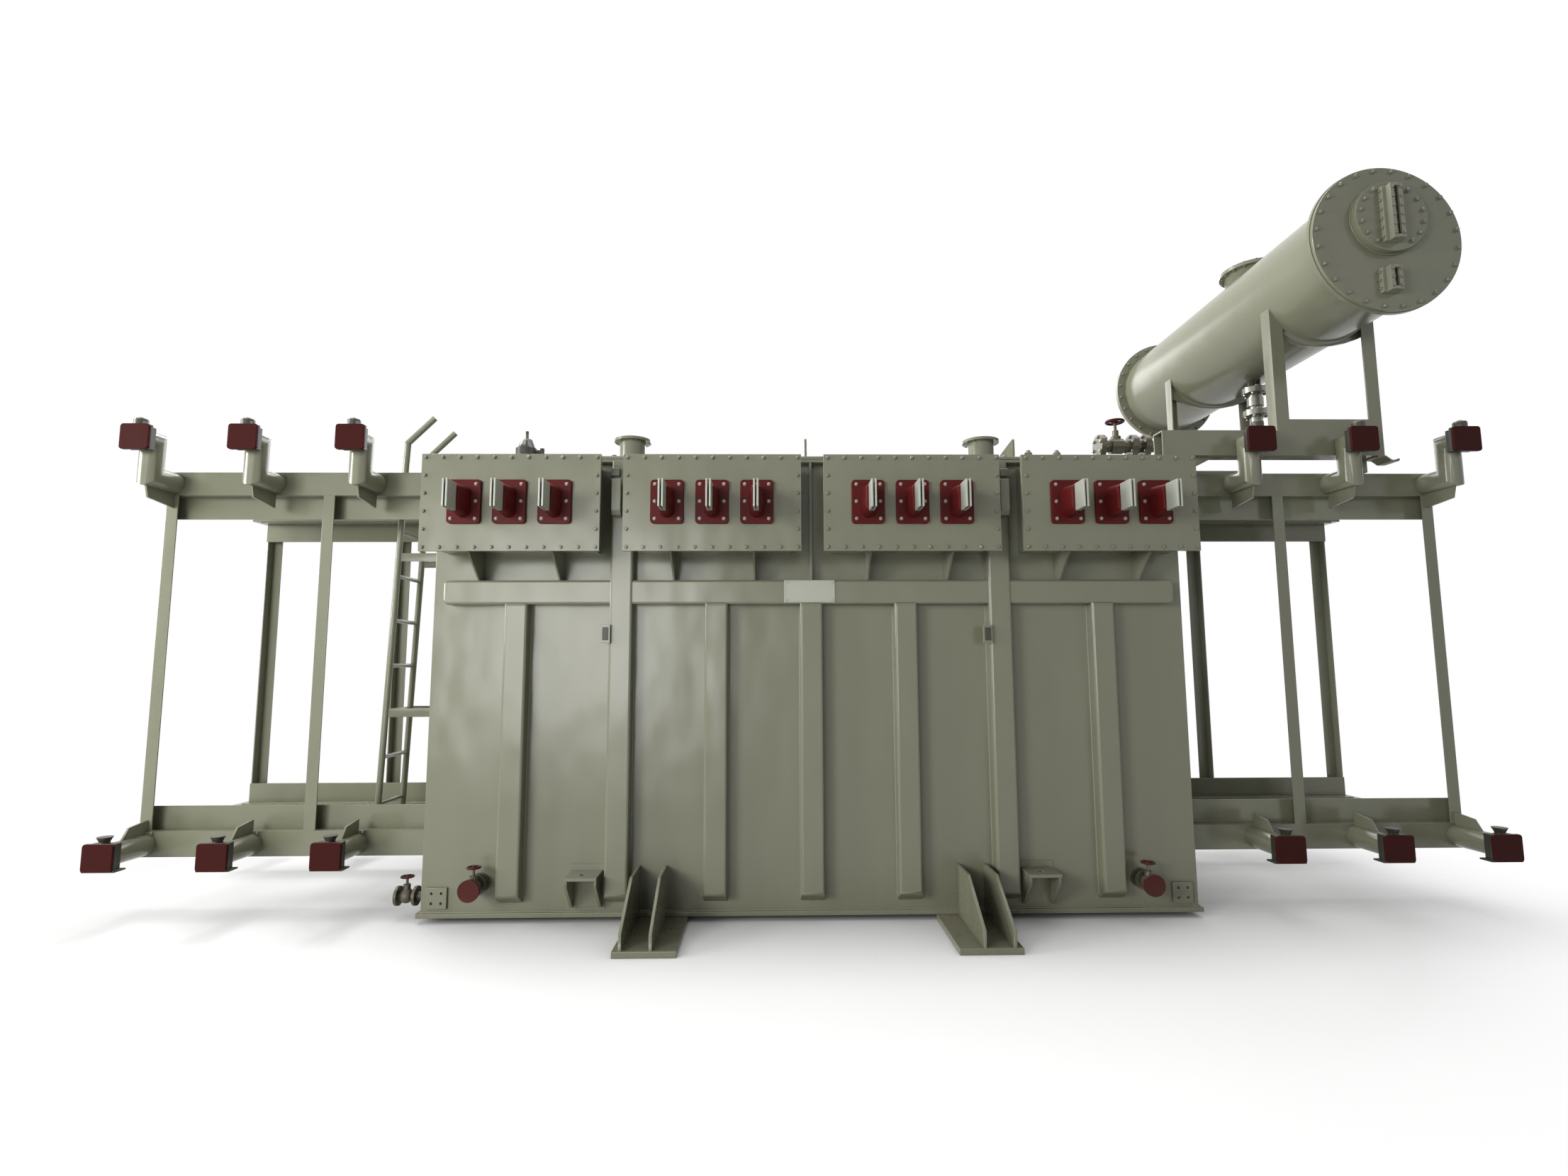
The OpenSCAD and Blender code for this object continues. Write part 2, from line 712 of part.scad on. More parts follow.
// A long gauge on the raised pad and a short one below it
module conservator_gauges() color(dark_colour) translate([cons_x - gauge_aside, cons_front, cons_z]) {
    half = gauge_w / 2;
    span([-half, -pad_reach - gauge_reach, pad_rise - gauge_l / 2], [half, -pad_reach, pad_rise + gauge_l / 2]);
    span([-half, -gauge_reach, -short_gauge_drop - short_gauge_l], [half, 0, -short_gauge_drop]);
}

module conservator_manhole() color(body_colour)
    translate([cons_x, 0, cons_z + cons_r + neck_h]) cylinder(d = manhole_od, h = manhole_t);

module conservator_support() color(body_colour) front_and_rear() support();

// The front support: a hollow beam, two coped angle posts, a rolled saddle with its web, a tie, legs, a folded
// plate at the end of the beam and a wall bracket
module support() {
    face = -support_y;
    inner = face + beam_w;
    post_top = cons_z - 136;
    web_od = 1240;
    web_low = 15;
    difference() {
        span([beam_in, face, beam_z], [beam_out, inner, beam_top]);
        span([beam_in - 1, face + beam_t, beam_z + beam_t], [beam_out + 1, inner - beam_t, beam_top - beam_t]);
    }
    difference() {
        union() {
            for (x = [support_in, beam_out - support_leg])
                span([x, face, beam_top - 1], [x + support_leg, face + angle_t, post_top]);
            for (x = [support_in, beam_out - angle_t])
                span([x, face, beam_top - 1], [x + angle_t, face + support_leg, post_top]);
            intersection() {
                bar_y(cons_od + 20, support_leg, [cons_x, face, cons_z]);
                span([support_in, face, cons_z - cons_r - 20], [beam_out, face + support_leg, cons_z - 100]);
            }
            intersection() {
                bar_y(web_od, 10, [cons_x, face + 40, cons_z - cons_r - web_low + web_od / 2]);
                span([support_in, face, cons_z - cons_r - 20], [beam_out, face + support_leg, cons_z - 180]);
            }
        }
        bar_y(cons_od, 200, [cons_x, face - 50, cons_z]);
    }
    span([support_in, face, beam_top - 1], [beam_out, face + angle_t, beam_top + tie_h]);
    span([beam_in, face, cover_top], [tank_x + rim_w - 5, inner, beam_z + 1]);
    plate_xz([[tank_x, rim_under - 71], [tank_x, rim_under], [tank_x + rim_w + 2, rim_under],
        [tank_x + rim_w + 2, beam_z + 1], [tank_x + 301, beam_z + 1]], 10, face + 45);
    plate_xz([[beam_out - 40, beam_z + 1], [beam_out + 6, beam_z + 1], [beam_out + 40, beam_z - 24],
        [beam_out + 76, beam_z - 24], [beam_out + 80, beam_z - 16], [beam_out + 86, beam_z - 20],
        [beam_out + 80, beam_z - 32], [beam_out + 37, beam_z - 32], [beam_out + 3, beam_z - 7],
        [beam_out - 40, beam_z - 7]], 103, face);
    for (x = [stub_xs[0] + 106, stub_xs[1] + 191]) {
        span([x - leg_w / 2, inner - 12, header_high_top], [x + leg_w / 2, inner, beam_z + 1]);
        span([x - leg_w / 2, inner - 12, header_high_top], [x + leg_w / 2, -header_y + 70, header_high_top + 12]);
    }
}

// Oil pipe from the conservator, with a valve under it and a blanked shut-off valve at its end

module oil_pipe() color(brass_colour) translate([0, pipe_y, 0]) {
    shell_low = cons_z - cons_r;
    gate_in = pipe_end + 2 * pipe_flange_t;
    gate_out = gate_in + gate_l;
    gate_x = gate_in + gate_l / 2;
    drop_top = shell_low - 49;
    drop_low = drop_top - 2 * pipe_flange_t - drop_valve_l;
    difference() {
        bar_z(pipe_od, shell_low + 20 - pipe_z - pipe_bend, [cons_x, 0, pipe_z + pipe_bend]);
        bar_y(cons_od, 2 * pipe_od, [cons_x, -pipe_od, cons_z]);
    }
    translate([cons_x - pipe_bend, 0, pipe_z + pipe_bend]) rotate([90, 0, 0]) rotate([0, 0, -90])
        elbow(pipe_bend, pipe_od, 90);
    bar_x(pipe_od, cons_x - pipe_bend - gate_in, [gate_in, 0, pipe_z]);
    for (z = [drop_top - 2 * pipe_flange_t, drop_low - 2 * pipe_flange_t]) bar_z(pipe_flange, 2 * pipe_flange_t, [cons_x, 0, z]);
    bar_z(pipe_od + 22, drop_valve_l * 0.5, [cons_x, 0, drop_low + drop_valve_l * 0.25]);
    for (x = [pipe_end, gate_out, gate_out + 84]) bar_x(pipe_flange, 2 * pipe_flange_t, [x, 0, pipe_z]);
    bar_x(pipe_od + 24, gate_l * 0.45, [gate_x - gate_l * 0.225, 0, pipe_z]);
    bar_z(64, 64, [gate_x, 0, pipe_z]);
    bar_z(40, 104, [gate_x, 0, pipe_z]);
    bar_z(20, wheel_rise + 2, [gate_x, 0, pipe_z]);
    handwheel(wheel_od, [gate_x, 0, pipe_z + wheel_rise]);
}

// Valves low on the tank

// Drain valves with a blank flange at the front
module drain_valves() color(brass_colour) both_sides() translate([drain_x, -tank_y, drain_z]) {
    stem = -0.6 * drain_reach;
    bar_y(62, drain_reach - 10, [0, -drain_reach + 10, 0]);
    for (y = [-20, stem + 34, -drain_reach + 18]) bar_y(drain_flange, 14, [0, y, 0]);
    translate([0, stem, 0]) sphere(d = 92);
    bar_y(drain_flange + 10, 14, [0, -drain_reach, 0]);
    bar_z(44, 70, [0, stem, 0]);
    bar_z(16, 120, [0, stem, 0]);
    handwheel(72, [0, stem, 118]);
}

// Filter valve on the left end wall
module filter_valve() color(brass_colour) translate([-tank_x, -tank_y + filter_inset, filter_z]) {
    bar_x(46, 165, [-165, 0, 0]);
    for (x = [-14, -70, -165]) bar_x(filter_flange, 14, [x, 0, 0]);
    translate([-115, 0, 0]) sphere(d = 76);
    bar_z(36, 60, [-115, 0, 0]);
    bar_z(14, 100, [-115, 0, 0]);
    handwheel(70, [-115, 0, 98]);
}

// Jacking pads: a drilled shelf on two gussets and a backing plate
module jacking_pads() color(body_colour) both_sides() front_and_rear() translate([jack_x, 0, 0]) {
    half = jack_w / 2;
    under = jack_top - jack_t;
    foot = under - jack_h;
    difference() {
        span([-half, -tank_y - jack_reach, under], [half, -tank_y, jack_top]);
        bar_z(jack_hole, jack_t + 2, [0, -tank_y - jack_reach + 60, under - 1]);
    }
    span([-half - 10, -tank_y - 8, foot - 2], [half + 10, -tank_y, jack_top + 31]);
    for (x = [-half + 8, half - 8]) plate_yz([[-tank_y - 7, under + 1], [-tank_y - jack_reach + 10, under + 1],
        [-tank_y - jack_reach + 10, under - 34], [-tank_y - 30, foot], [-tank_y - 7, foot]], 14, x);
}

// Earth pads with four holes each
module earth_pads() color(body_colour) both_sides() translate([earth_x, -tank_y, earth_z]) difference() {
    half = earth_w / 2;
    span([-half, -earth_t, -half], [half, 0, half]);
    for (x = [-0.5, 0.5]) for (z = [-0.5, 0.5])
        bar_y(earth_hole, earth_t + 2, [x * earth_pitch, -earth_t - 1, z * earth_pitch]);
}

// Fittings on the cover

// Pressure relief device: a flange, a body with a domed top, an indicator pin and a side lever
module pressure_relief() color(dark_colour) translate([-tank_x + relief_inset, -tank_y + relief_back, cover_top]) {
    cylinder(d = relief_od + 70, h = 18);
    cylinder(d = relief_od, h = relief_h);
    translate([0, 0, relief_h - 1]) cylinder(d1 = relief_od - 16, d2 = relief_od / 2, h = 56);
    cylinder(d = 18, h = relief_pin);
    bar_x(24, relief_od / 2 + 42, [0, -10, relief_h - 18]);
    bar_z(26, 36, [relief_od / 2 + 32, -10, relief_h - 36]);
}

// Flanged nozzles, and pockets for thermometers between them and the rim
module cover_nozzles() color(body_colour) {
    both_sides() translate([nozzle_x, -tank_y + nozzle_back, cover_top]) {
        cylinder(d = nozzle_od, h = nozzle_h);
        difference() {
            translate([0, 0, nozzle_h - nozzle_t]) cylinder(d = nozzle_flange, h = nozzle_t);
            for (turn = [0 : 60 : 300]) rotate([0, 0, turn])
                translate([nozzle_circle / 2, 0, nozzle_h - nozzle_t - 1]) cylinder(d = nozzle_hole, h = nozzle_t + 2);
        }
    }
    translate([-nozzle_x - 340, -tank_y + 40, cover_top]) cylinder(d = 44, h = 26);
    for (x = [nozzle_x + 211, nozzle_x + 372]) translate([x, -tank_y + 40, cover_top]) {
        cylinder(d = 44, h = 46);
        translate([0, 0, 45]) cylinder(d1 = 40, d2 = 20, h = 18);
    }
}

// Lugs standing on the cover, tall at the edge and lower towards the middle
module lifting_lugs() color(body_colour) front_and_rear() for (x = lug_xs)
    plate_yz([[-tank_y - 40, cover_top], [-tank_y - 40, cover_top + lug_h],
        [-tank_y - 60 + lug_l, cover_top + lug_h - 28], [-tank_y - 40 + lug_l, cover_top]], lug_t, x);

// Ladder on the left end wall: leaning stringers whose tops bend over to the cover
module ladder() color(body_colour) {
    first_rung = 100;
    last_rung = floor((ladder_l - 2 * first_rung) / rung_pitch);
    for (y = [-ladder_half, ladder_half]) {
        translate([ladder_x, y, ladder_z]) rotate([0, ladder_lean, 0]) {
            cylinder(d = stringer_od, h = ladder_l + stringer_od * 0.21);
            translate([0, 0, ladder_l]) rotate([0, ladder_bend, 0]) translate([0, 0, -stringer_od * 0.21])
                cylinder(d = stringer_od, h = ladder_top);
        }
        for (z = [ladder_z + bracket_low, ladder_z + ladder_l - bracket_high])
            span([ladder_x + (z - ladder_z) * tan(ladder_lean), y - 5, z - 25], [-tank_x, y + 5, z + 25]);
    }
    translate([ladder_x, 0, ladder_z]) rotate([0, ladder_lean, 0])
        for (k = [0 : last_rung]) bar_y(rung_od, 2 * ladder_half, [0, -ladder_half, first_rung + k * rung_pitch]);
}

// Bare plate on the level stiffener
module nameplate() color(metal_colour)
    span([-nameplate_w / 2 - 10, -tank_y - stiff_d - 4, stiff_z - nameplate_h / 2 + 2],
        [nameplate_w / 2 - 10, -tank_y - stiff_d, stiff_z + nameplate_h / 2 + 2]);

base_skids();
tank_base_plate();
tank_body();
tank_cover();
front_stiffeners();
rear_stiffeners();
lv_chamber_1();
lv_chamber_2();
lv_chamber_3();
lv_chamber_4();
lv_cover_1();
lv_cover_2();
lv_cover_3();
lv_cover_4();
lv_bushings();
lv_terminals();
left_front_headers();
left_rear_headers();
right_front_headers();
right_rear_headers();
left_front_posts();
left_rear_posts();
right_front_posts();
right_rear_posts();
left_radiator_valves();
right_radiator_valves();
left_blanks();
right_blanks();
conservator_shell();
conservator_front_cover();
conservator_rear_cover();
conservator_gauges();
conservator_manhole();
conservator_support();
oil_pipe();
drain_valves();
filter_valve();
jacking_pads();
earth_pads();
pressure_relief();
cover_nozzles();
lifting_lugs();
ladder();
nameplate();
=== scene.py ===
"""Looks of an inverter duty transformer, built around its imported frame.

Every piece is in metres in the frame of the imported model: X across the front, Y to the rear, Z up.
"""
from __future__ import annotations

import logging
import math
from contextlib import contextmanager
from dataclasses import dataclass, field
from enum import Enum
from typing import Callable, Iterable, Iterator, Optional, Sequence

import bmesh
import bpy
from mathutils import Matrix, Vector

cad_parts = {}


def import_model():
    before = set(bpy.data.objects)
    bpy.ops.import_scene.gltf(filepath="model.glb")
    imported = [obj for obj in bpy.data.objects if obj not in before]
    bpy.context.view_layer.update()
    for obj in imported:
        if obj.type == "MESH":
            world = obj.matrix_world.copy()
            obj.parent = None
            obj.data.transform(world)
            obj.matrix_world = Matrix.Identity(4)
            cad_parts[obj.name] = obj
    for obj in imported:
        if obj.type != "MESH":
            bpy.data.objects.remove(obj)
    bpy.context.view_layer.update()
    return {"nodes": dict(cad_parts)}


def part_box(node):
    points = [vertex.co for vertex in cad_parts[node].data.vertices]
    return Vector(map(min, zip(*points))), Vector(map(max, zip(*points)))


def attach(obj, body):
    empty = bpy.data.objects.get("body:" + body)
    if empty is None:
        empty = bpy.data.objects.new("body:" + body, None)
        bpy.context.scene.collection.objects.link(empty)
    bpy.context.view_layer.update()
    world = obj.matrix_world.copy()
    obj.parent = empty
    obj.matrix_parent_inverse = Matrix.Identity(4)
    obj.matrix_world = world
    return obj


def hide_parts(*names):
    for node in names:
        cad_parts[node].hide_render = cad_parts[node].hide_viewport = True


LOG = logging.getLogger("transformer")
BODY = "root"
IMAGE_WIDTH = 2212
SENSOR = 36.0
HAIR = 0.001  # a length that tells places apart
SHARP = math.radians(28.0)
HEX_RATIO = 1.732  # across flats over the corner radius
SIDES = (-1.0, 1.0)
ORIGIN = (0.0, 0.0, 0.0)
FRONT, REAR = (0.0, -1.0, 0.0), (0.0, 1.0, 0.0)
UP, DOWN = (0.0, 0.0, 1.0), (0.0, 0.0, -1.0)
LEFT, RIGHT = (-1.0, 0.0, 0.0), (1.0, 0.0, 0.0)
WHITE = (1.0, 1.0, 1.0, 1.0)
# DUST and SPLASH are settled marks; the third colour is painted shade for hollows and corners.
DUST, SPLASH, CREVICE_SHADE = (158, 154, 140), (96, 90, 74), (44, 42, 34)
COLOUR, FLOAT, VECTOR = "NodeSocketColor", "NodeSocketFloat", "NodeSocketVector"
Piece = bpy.types.Object
Socket = bpy.types.NodeSocket
Tree = bpy.types.NodeTree
Point = Sequence[float]
Pair = tuple[float, float]
Triple = tuple[float, float, float]
Test = Callable[[Vector], bool]


class Slot(Enum):
    """Material slots of the record."""

    PAINT = "tank_paint"
    RED = "red_oxide"
    TINNED = "tinned_metal"
    DARK = "dark_fittings"
    VALVE = "valve_metal"


def linear(colour: Sequence[int]) -> tuple[float, float, float, float]:
    """Turns a colour written from 0 to 255 into the linear values that a shader takes.

    Args:
        colour: red, green and blue as they look on a screen.

    Returns:
        Linear red, green, blue and an alpha of one.
    """
    parts = []
    for value in colour:
        part = value / 255.0
        parts.append(part / 12.92 if part <= 0.04045 else ((part + 0.055) / 1.055) ** 2.4)
    return parts[0], parts[1], parts[2], 1.0


class Sheet:
    """A node tree with short calls for adding nodes and joining them."""

    def __init__(self, tree: Tree) -> None:
        """Takes the tree that the nodes go into."""
        self.tree = tree

    def fill(self, node: bpy.types.Node, values: dict) -> None:
        """Feeds the inputs of a node.

        Args:
            node: the node.
            values: input name or number to a constant, or to the socket that feeds it.
        """
        for name, value in values.items():
            if isinstance(value, Socket):
                self.tree.links.new(value, node.inputs[name])
            else:
                node.inputs[name].default_value = value

    def add(self, kind: str, values: Optional[dict] = None, **settings: object) -> bpy.types.Node:
        """Adds a node.

        Args:
            kind: the node's type name.
            values: what feeds its inputs.
            settings: properties of the node itself.

        Returns:
            The new node.
        """
        node = self.tree.nodes.new(kind)
        for name, setting in settings.items():
            setattr(node, name, setting)
        self.fill(node, values or {})
        return node

    def math(self, kind: str, first: object, second: object) -> Socket:
        """Adds a Math node and returns its result."""
        return self.add("ShaderNodeMath", {0: first, 1: second}, operation=kind).outputs[0]

    def times(self, first: object, second: object) -> Socket:
        """Multiplies two values."""
        return self.math("MULTIPLY", first, second)

    def plus(self, first: object, second: object) -> Socket:
        """Adds two values."""
        return self.math("ADD", first, second)

    def swing(self, value: Socket, amount: object) -> Socket:
        """Turns a value around a half into one around 0, times an amount."""
        return self.times(self.math("SUBTRACT", value, 0.5), amount)

    def noise(self, vector: Socket, scale: float, detail: float = 3.0) -> Socket:
        """Adds a noise texture and returns its factor."""
        values = {"Vector": vector, "Scale": scale, "Detail": detail, "Roughness": 0.55}
        return self.add("ShaderNodeTexNoise", values).outputs[0]

    def mapped(self, vector: Socket, scale: Triple, location: Triple = ORIGIN) -> Socket:
        """Scales and shifts a vector and returns it."""
        values = {"Vector": vector, "Location": location, "Scale": scale}
        return self.add("ShaderNodeMapping", values).outputs[0]

    def ramp(self, value: object, low: float, high: float, top: float = 1.0) -> Socket:
        """Adds a smooth ramp from 0 at low to top at high and returns its result."""
        values = {"Value": value, "From Min": low, "From Max": high, "To Min": 0.0, "To Max": top}
        return self.add("ShaderNodeMapRange", values, interpolation_type="SMOOTHSTEP").outputs[0]

    def blend(self, amount: object, first: object, second: object) -> Socket:
        """Mixes two colours and returns the mix."""
        node = self.add("ShaderNodeMix", data_type="RGBA", blend_type="MIX")
        self.fill(node, {0: amount, 6: first, 7: second})
        return node.outputs[2]


def new_group(
    name: str, inputs: dict[str, str], outputs: dict[str, str]
) -> tuple[Sheet, Sequence[Socket], bpy.types.Node]:
    """Starts a shader node group.

    Args:
        name: the group's name.
        inputs: socket name to socket type.
        outputs: socket name to socket type.

    Returns:
        The group's sheet, what it is given and its output node.
    """
    tree = bpy.data.node_groups.new(name, "ShaderNodeTree")
    for way, sockets in (("INPUT", inputs), ("OUTPUT", outputs)):
        for title, kind in sockets.items():
            tree.interface.new_socket(name=title, in_out=way, socket_type=kind)
    sheet = Sheet(tree)
    return sheet, sheet.add("NodeGroupInput").outputs, sheet.add("NodeGroupOutput")


def film_group() -> Tree:
    """Builds the group for a sprayed film: cloudy tone, faint runs, uneven gloss, orange peel and slow waves.

    Returns:
        The group's tree.
    """
    amounts = dict.fromkeys(("Mottle", "Gloss", "Peel Size", "Wave"), FLOAT)
    results = {"Colour": COLOUR, "Roughness": FLOAT, "Height": FLOAT}
    sheet, given, result = new_group("sprayed_film", {"Vector": VECTOR, "Colour": COLOUR, **amounts}, results)
    vector = given["Vector"]
    clouds = sheet.noise(vector, 1.3)
    blotches = sheet.noise(vector, 6.0, 2.0)
    runs = sheet.noise(sheet.mapped(vector, (16.0, 16.0, 0.8)), 1.0, 4.0)
    tone = sheet.plus(sheet.times(clouds, 0.5), sheet.times(blotches, 0.3))
    tone = sheet.plus(tone, sheet.times(runs, 0.2))
    value = sheet.plus(sheet.swing(tone, given["Mottle"]), 1.0)
    toned = sheet.add("ShaderNodeHueSaturation", {"Value": value, "Color": given["Colour"]})
    rough = sheet.plus(sheet.swing(blotches, 0.10), sheet.swing(runs, 0.08))
    grain = {"Vector": vector, "Scale": given["Peel Size"], "Detail": 2.0}
    peel = sheet.add("ShaderNodeTexNoise", grain).outputs[0]
    waves = sheet.noise(sheet.mapped(vector, (5.0, 5.0, 2.6)), 1.0, 1.0)
    sheet.fill(result, {
        "Colour": toned.outputs[0],
        "Roughness": sheet.plus(given["Gloss"], rough),
        "Height": sheet.plus(peel, sheet.times(waves, given["Wave"])),
    })
    return sheet.tree


def soil_and_shade_group() -> Tree:
    """Builds the group for settled dust, splashes near the ground, and painted shade darkening hollows and
    corners where ambient occlusion finds nearby surfaces.

    Returns:
        The group's tree.
    """
    inputs = {"Vector": VECTOR, "Colour": COLOUR, "Soil and Shade": FLOAT}
    sheet, given, result = new_group("settled_soil_and_painted_shade", inputs, {"Colour": COLOUR, "Mask": FLOAT})
    vector, soil_and_shade = given["Vector"], given["Soil and Shade"]
    normal = sheet.add("ShaderNodeNewGeometry").outputs["Normal"]
    upward = sheet.add("ShaderNodeSeparateXYZ", {0: normal}).outputs[2]
    height = sheet.add("ShaderNodeSeparateXYZ", {0: vector}).outputs[2]
    patches = sheet.ramp(sheet.noise(vector, 3.2, 8.0), 0.22, 0.86)
    dust = sheet.times(sheet.ramp(upward, 0.4, 1.0, 0.55), patches)
    low = sheet.times(sheet.ramp(sheet.math("SUBTRACT", 0.34, height), 0.0, 0.32, 0.7), patches)
    # painted shade: local ambient occlusion darkens hollows, corners and joints towards a near-black tone
    shelter = sheet.add("ShaderNodeAmbientOcclusion", {"Distance": 0.07}, samples=4, only_local=True)
    painted_crevice_shade = sheet.ramp(sheet.math("SUBTRACT", 1.0, shelter.outputs["AO"]), 0.15, 0.8, 0.75)
    colour = given["Colour"]
    for mask, tint in ((dust, DUST), (low, SPLASH), (painted_crevice_shade, CREVICE_SHADE)):
        colour = sheet.blend(sheet.times(mask, soil_and_shade), colour, linear(tint))
    sheet.fill(result, {"Colour": colour, "Mask": sheet.times(sheet.math("MAXIMUM", dust, low), soil_and_shade)})
    return sheet.tree


@dataclass(frozen=True)
class Finish:
    """A finish: its colour, its gloss and how they vary over a surface."""

    name: str
    slot: Slot
    colour: tuple[int, int, int]
    gloss: float
    mottle: float = 0.10
    # how strongly dust, splashes and painted shade in hollows show on the finish
    soil_and_shade: float = 0.5
    metallic: float = 0.0
    peel: float = 0.10
    peel_size: float = 260.0
    coat: float = 0.0
    shine: float = 0.5
    wave: float = 2.5
    relief: float = 0.002
    dulling: float = 0.4
    coat_gloss: float = 0.18

    def material(self, film: Tree, soil_and_shade: Tree) -> bpy.types.Material:
        """Builds the material.

        Args:
            film: the sprayed film group.
            soil_and_shade: the group for dust, splashes and painted shade in hollows.

        Returns:
            The new material.
        """
        made = bpy.data.materials.new(self.name)
        made.use_nodes = True
        sheet = Sheet(made.node_tree)
        where = sheet.add("ShaderNodeTexCoord").outputs["Object"]
        values = {"Vector": where, "Colour": linear(self.colour), "Mottle": self.mottle, "Gloss": self.gloss}
        values.update({"Peel Size": self.peel_size, "Wave": self.wave})
        skin = sheet.add("ShaderNodeGroup", values, node_tree=film).outputs
        # the next group adds dust, splashes and painted shade in hollows to the colour
        values = {"Vector": where, "Colour": skin["Colour"], "Soil and Shade": self.soil_and_shade}
        dirt_and_shade = sheet.add("ShaderNodeGroup", values, node_tree=soil_and_shade).outputs
        values = {"Strength": self.peel, "Distance": self.relief, "Height": skin["Height"]}
        sheet.fill(made.node_tree.nodes["Principled BSDF"], {
            "Base Color": dirt_and_shade["Colour"],
            "Roughness": sheet.plus(skin["Roughness"], sheet.times(dirt_and_shade["Mask"], self.dulling)),
            "Normal": sheet.add("ShaderNodeBump", values).outputs[0],
            "Metallic": self.metallic,
            "Specular IOR Level": self.shine,
            "Coat Weight": self.coat,
            "Coat Roughness": self.coat_gloss,
        })
        return made


class Dressing(Enum):
    """The finishes that this transformer wears."""

    PAINT = Finish("satin_tank_paint", Slot.PAINT, (108, 109, 91), 0.21, mottle=0.12, wave=44.0)
    SHELL = Finish("rolled_shell_paint", Slot.PAINT, (110, 111, 93), 0.23, wave=9.0)
    BOLT_PAINT = Finish("painted_bolt", Slot.PAINT, (106, 107, 91), 0.24, soil_and_shade=0.1)
    WELD = Finish("painted_weld", Slot.PAINT, (112, 113, 96), 0.36, peel=0.9, peel_size=150.0)
    RED = Finish("red_oxide_casting", Slot.RED, (76, 19, 19), 0.36, peel=0.25, peel_size=180.0, shine=0.12)
    BLANK_RED = Finish("red_oxide_plate", Slot.RED, (52, 20, 18), 0.32, soil_and_shade=0.4, peel=0.12, shine=0.06)
    WHEEL_RED = Finish("handwheel_red", Slot.RED, (64, 24, 23), 0.40, shine=0.12)
    TINNED = Finish("tinned_copper", Slot.TINNED, (158, 161, 150), 0.42, mottle=0.25, soil_and_shade=0.3,
                    metallic=0.35, peel_size=420.0)
    ZINC = Finish("zinc_bolt", Slot.TINNED, (140, 140, 130), 0.40, mottle=0.3, soil_and_shade=0.4,
                  metallic=0.3, peel_size=300.0)
    PLATE = Finish("bare_plate", Slot.TINNED, (150, 152, 140), 0.42, mottle=0.25, soil_and_shade=0.3,
                   metallic=0.3, peel_size=380.0)
    DARK = Finish("dark_casting", Slot.DARK, (42, 42, 34), 0.42, mottle=0.4, soil_and_shade=0.7,
                  peel=0.35, peel_size=160.0)
    GAUGE = Finish("gauge_frame", Slot.DARK, (122, 123, 107), 0.34, mottle=0.3)
    GLASS = Finish("gauge_glass", Slot.DARK, (24, 20, 16), 0.12, mottle=0.2, soil_and_shade=0.1,
                   peel=0.02, peel_size=200.0, coat=0.4)
    BRASS = Finish("tarnished_valve", Slot.VALVE, (90, 86, 74), 0.36, mottle=0.9, soil_and_shade=0.9,
                   metallic=0.55, peel=0.35, peel_size=120.0)
    STEEL = Finish("bright_valve", Slot.VALVE, (132, 132, 123), 0.28, mottle=0.5, soil_and_shade=0.8,
                   metallic=0.8, peel=0.15, peel_size=140.0)


def clear_selection() -> None:
    """Leaves edit mode and deselects every object."""
    if bpy.context.object is not None and bpy.context.object.mode != "OBJECT":
        bpy.ops.object.mode_set(mode="OBJECT")
    bpy.ops.object.select_all(action="DESELECT")


def take(piece: Piece) -> Piece:
    """Makes a piece the only selected and active object.

    Args:
        piece: the piece.

    Returns:
        The same piece.
    """
    clear_selection()
    piece.select_set(True)
    bpy.context.view_layer.objects.active = piece
    return piece


@contextmanager
def editing(piece: Piece, kind: str = "VERT") -> Iterator[bmesh.types.BMesh]:
    """Opens a piece for editing with nothing selected, and closes it again.

    Args:
        piece: the piece to edit.
        kind: what is selected in it: VERT, EDGE or FACE.

    Yields:
        The mesh that is edited.
    """
    take(piece)
    bpy.ops.object.mode_set(mode="EDIT")
    bpy.ops.mesh.select_mode(type=kind)
    bpy.ops.mesh.select_all(action="DESELECT")
    yield bmesh.from_edit_mesh(piece.data)
    bpy.ops.object.mode_set(mode="OBJECT")


def pick(piece: Piece, test: Test) -> None:
    """Selects the vertices of an edited piece whose place passes a test.

    Args:
        piece: the piece, which is in edit mode.
        test: tells from a vertex's place whether it is selected.
    """
    shape = bmesh.from_edit_mesh(piece.data)
    for vertex in shape.verts:
        vertex.select_set(False)
    shape.select_flush(False)
    for vertex in shape.verts:
        vertex.select_set(test(vertex.co))
    shape.select_flush(True)
    bmesh.update_edit_mesh(piece.data)


def rename(piece: Piece, name: str) -> Piece:
    """Gives a piece and its mesh a name and returns the piece."""
    piece.name = name
    piece.data.name = name
    return piece


def settle(piece: Piece) -> Piece:
    """Puts the place of a piece into its mesh and returns the piece."""
    take(piece)
    bpy.ops.object.transform_apply(location=True, rotation=True, scale=True)
    return piece


def smooth(piece: Piece, angle: float = 32.0) -> Piece:
    """Shades a piece smooth across edges flatter than an angle, its flat faces kept flat.

    Args:
        piece: the piece.
        angle: the angle in degrees.

    Returns:
        The piece.
    """
    take(piece)
    bpy.ops.object.shade_smooth_by_angle(angle=math.radians(angle))
    weighted = piece.modifiers.new("flat_faces", "WEIGHTED_NORMAL")
    weighted.keep_sharp = True
    bpy.ops.object.modifier_apply(modifier=weighted.name)
    return piece


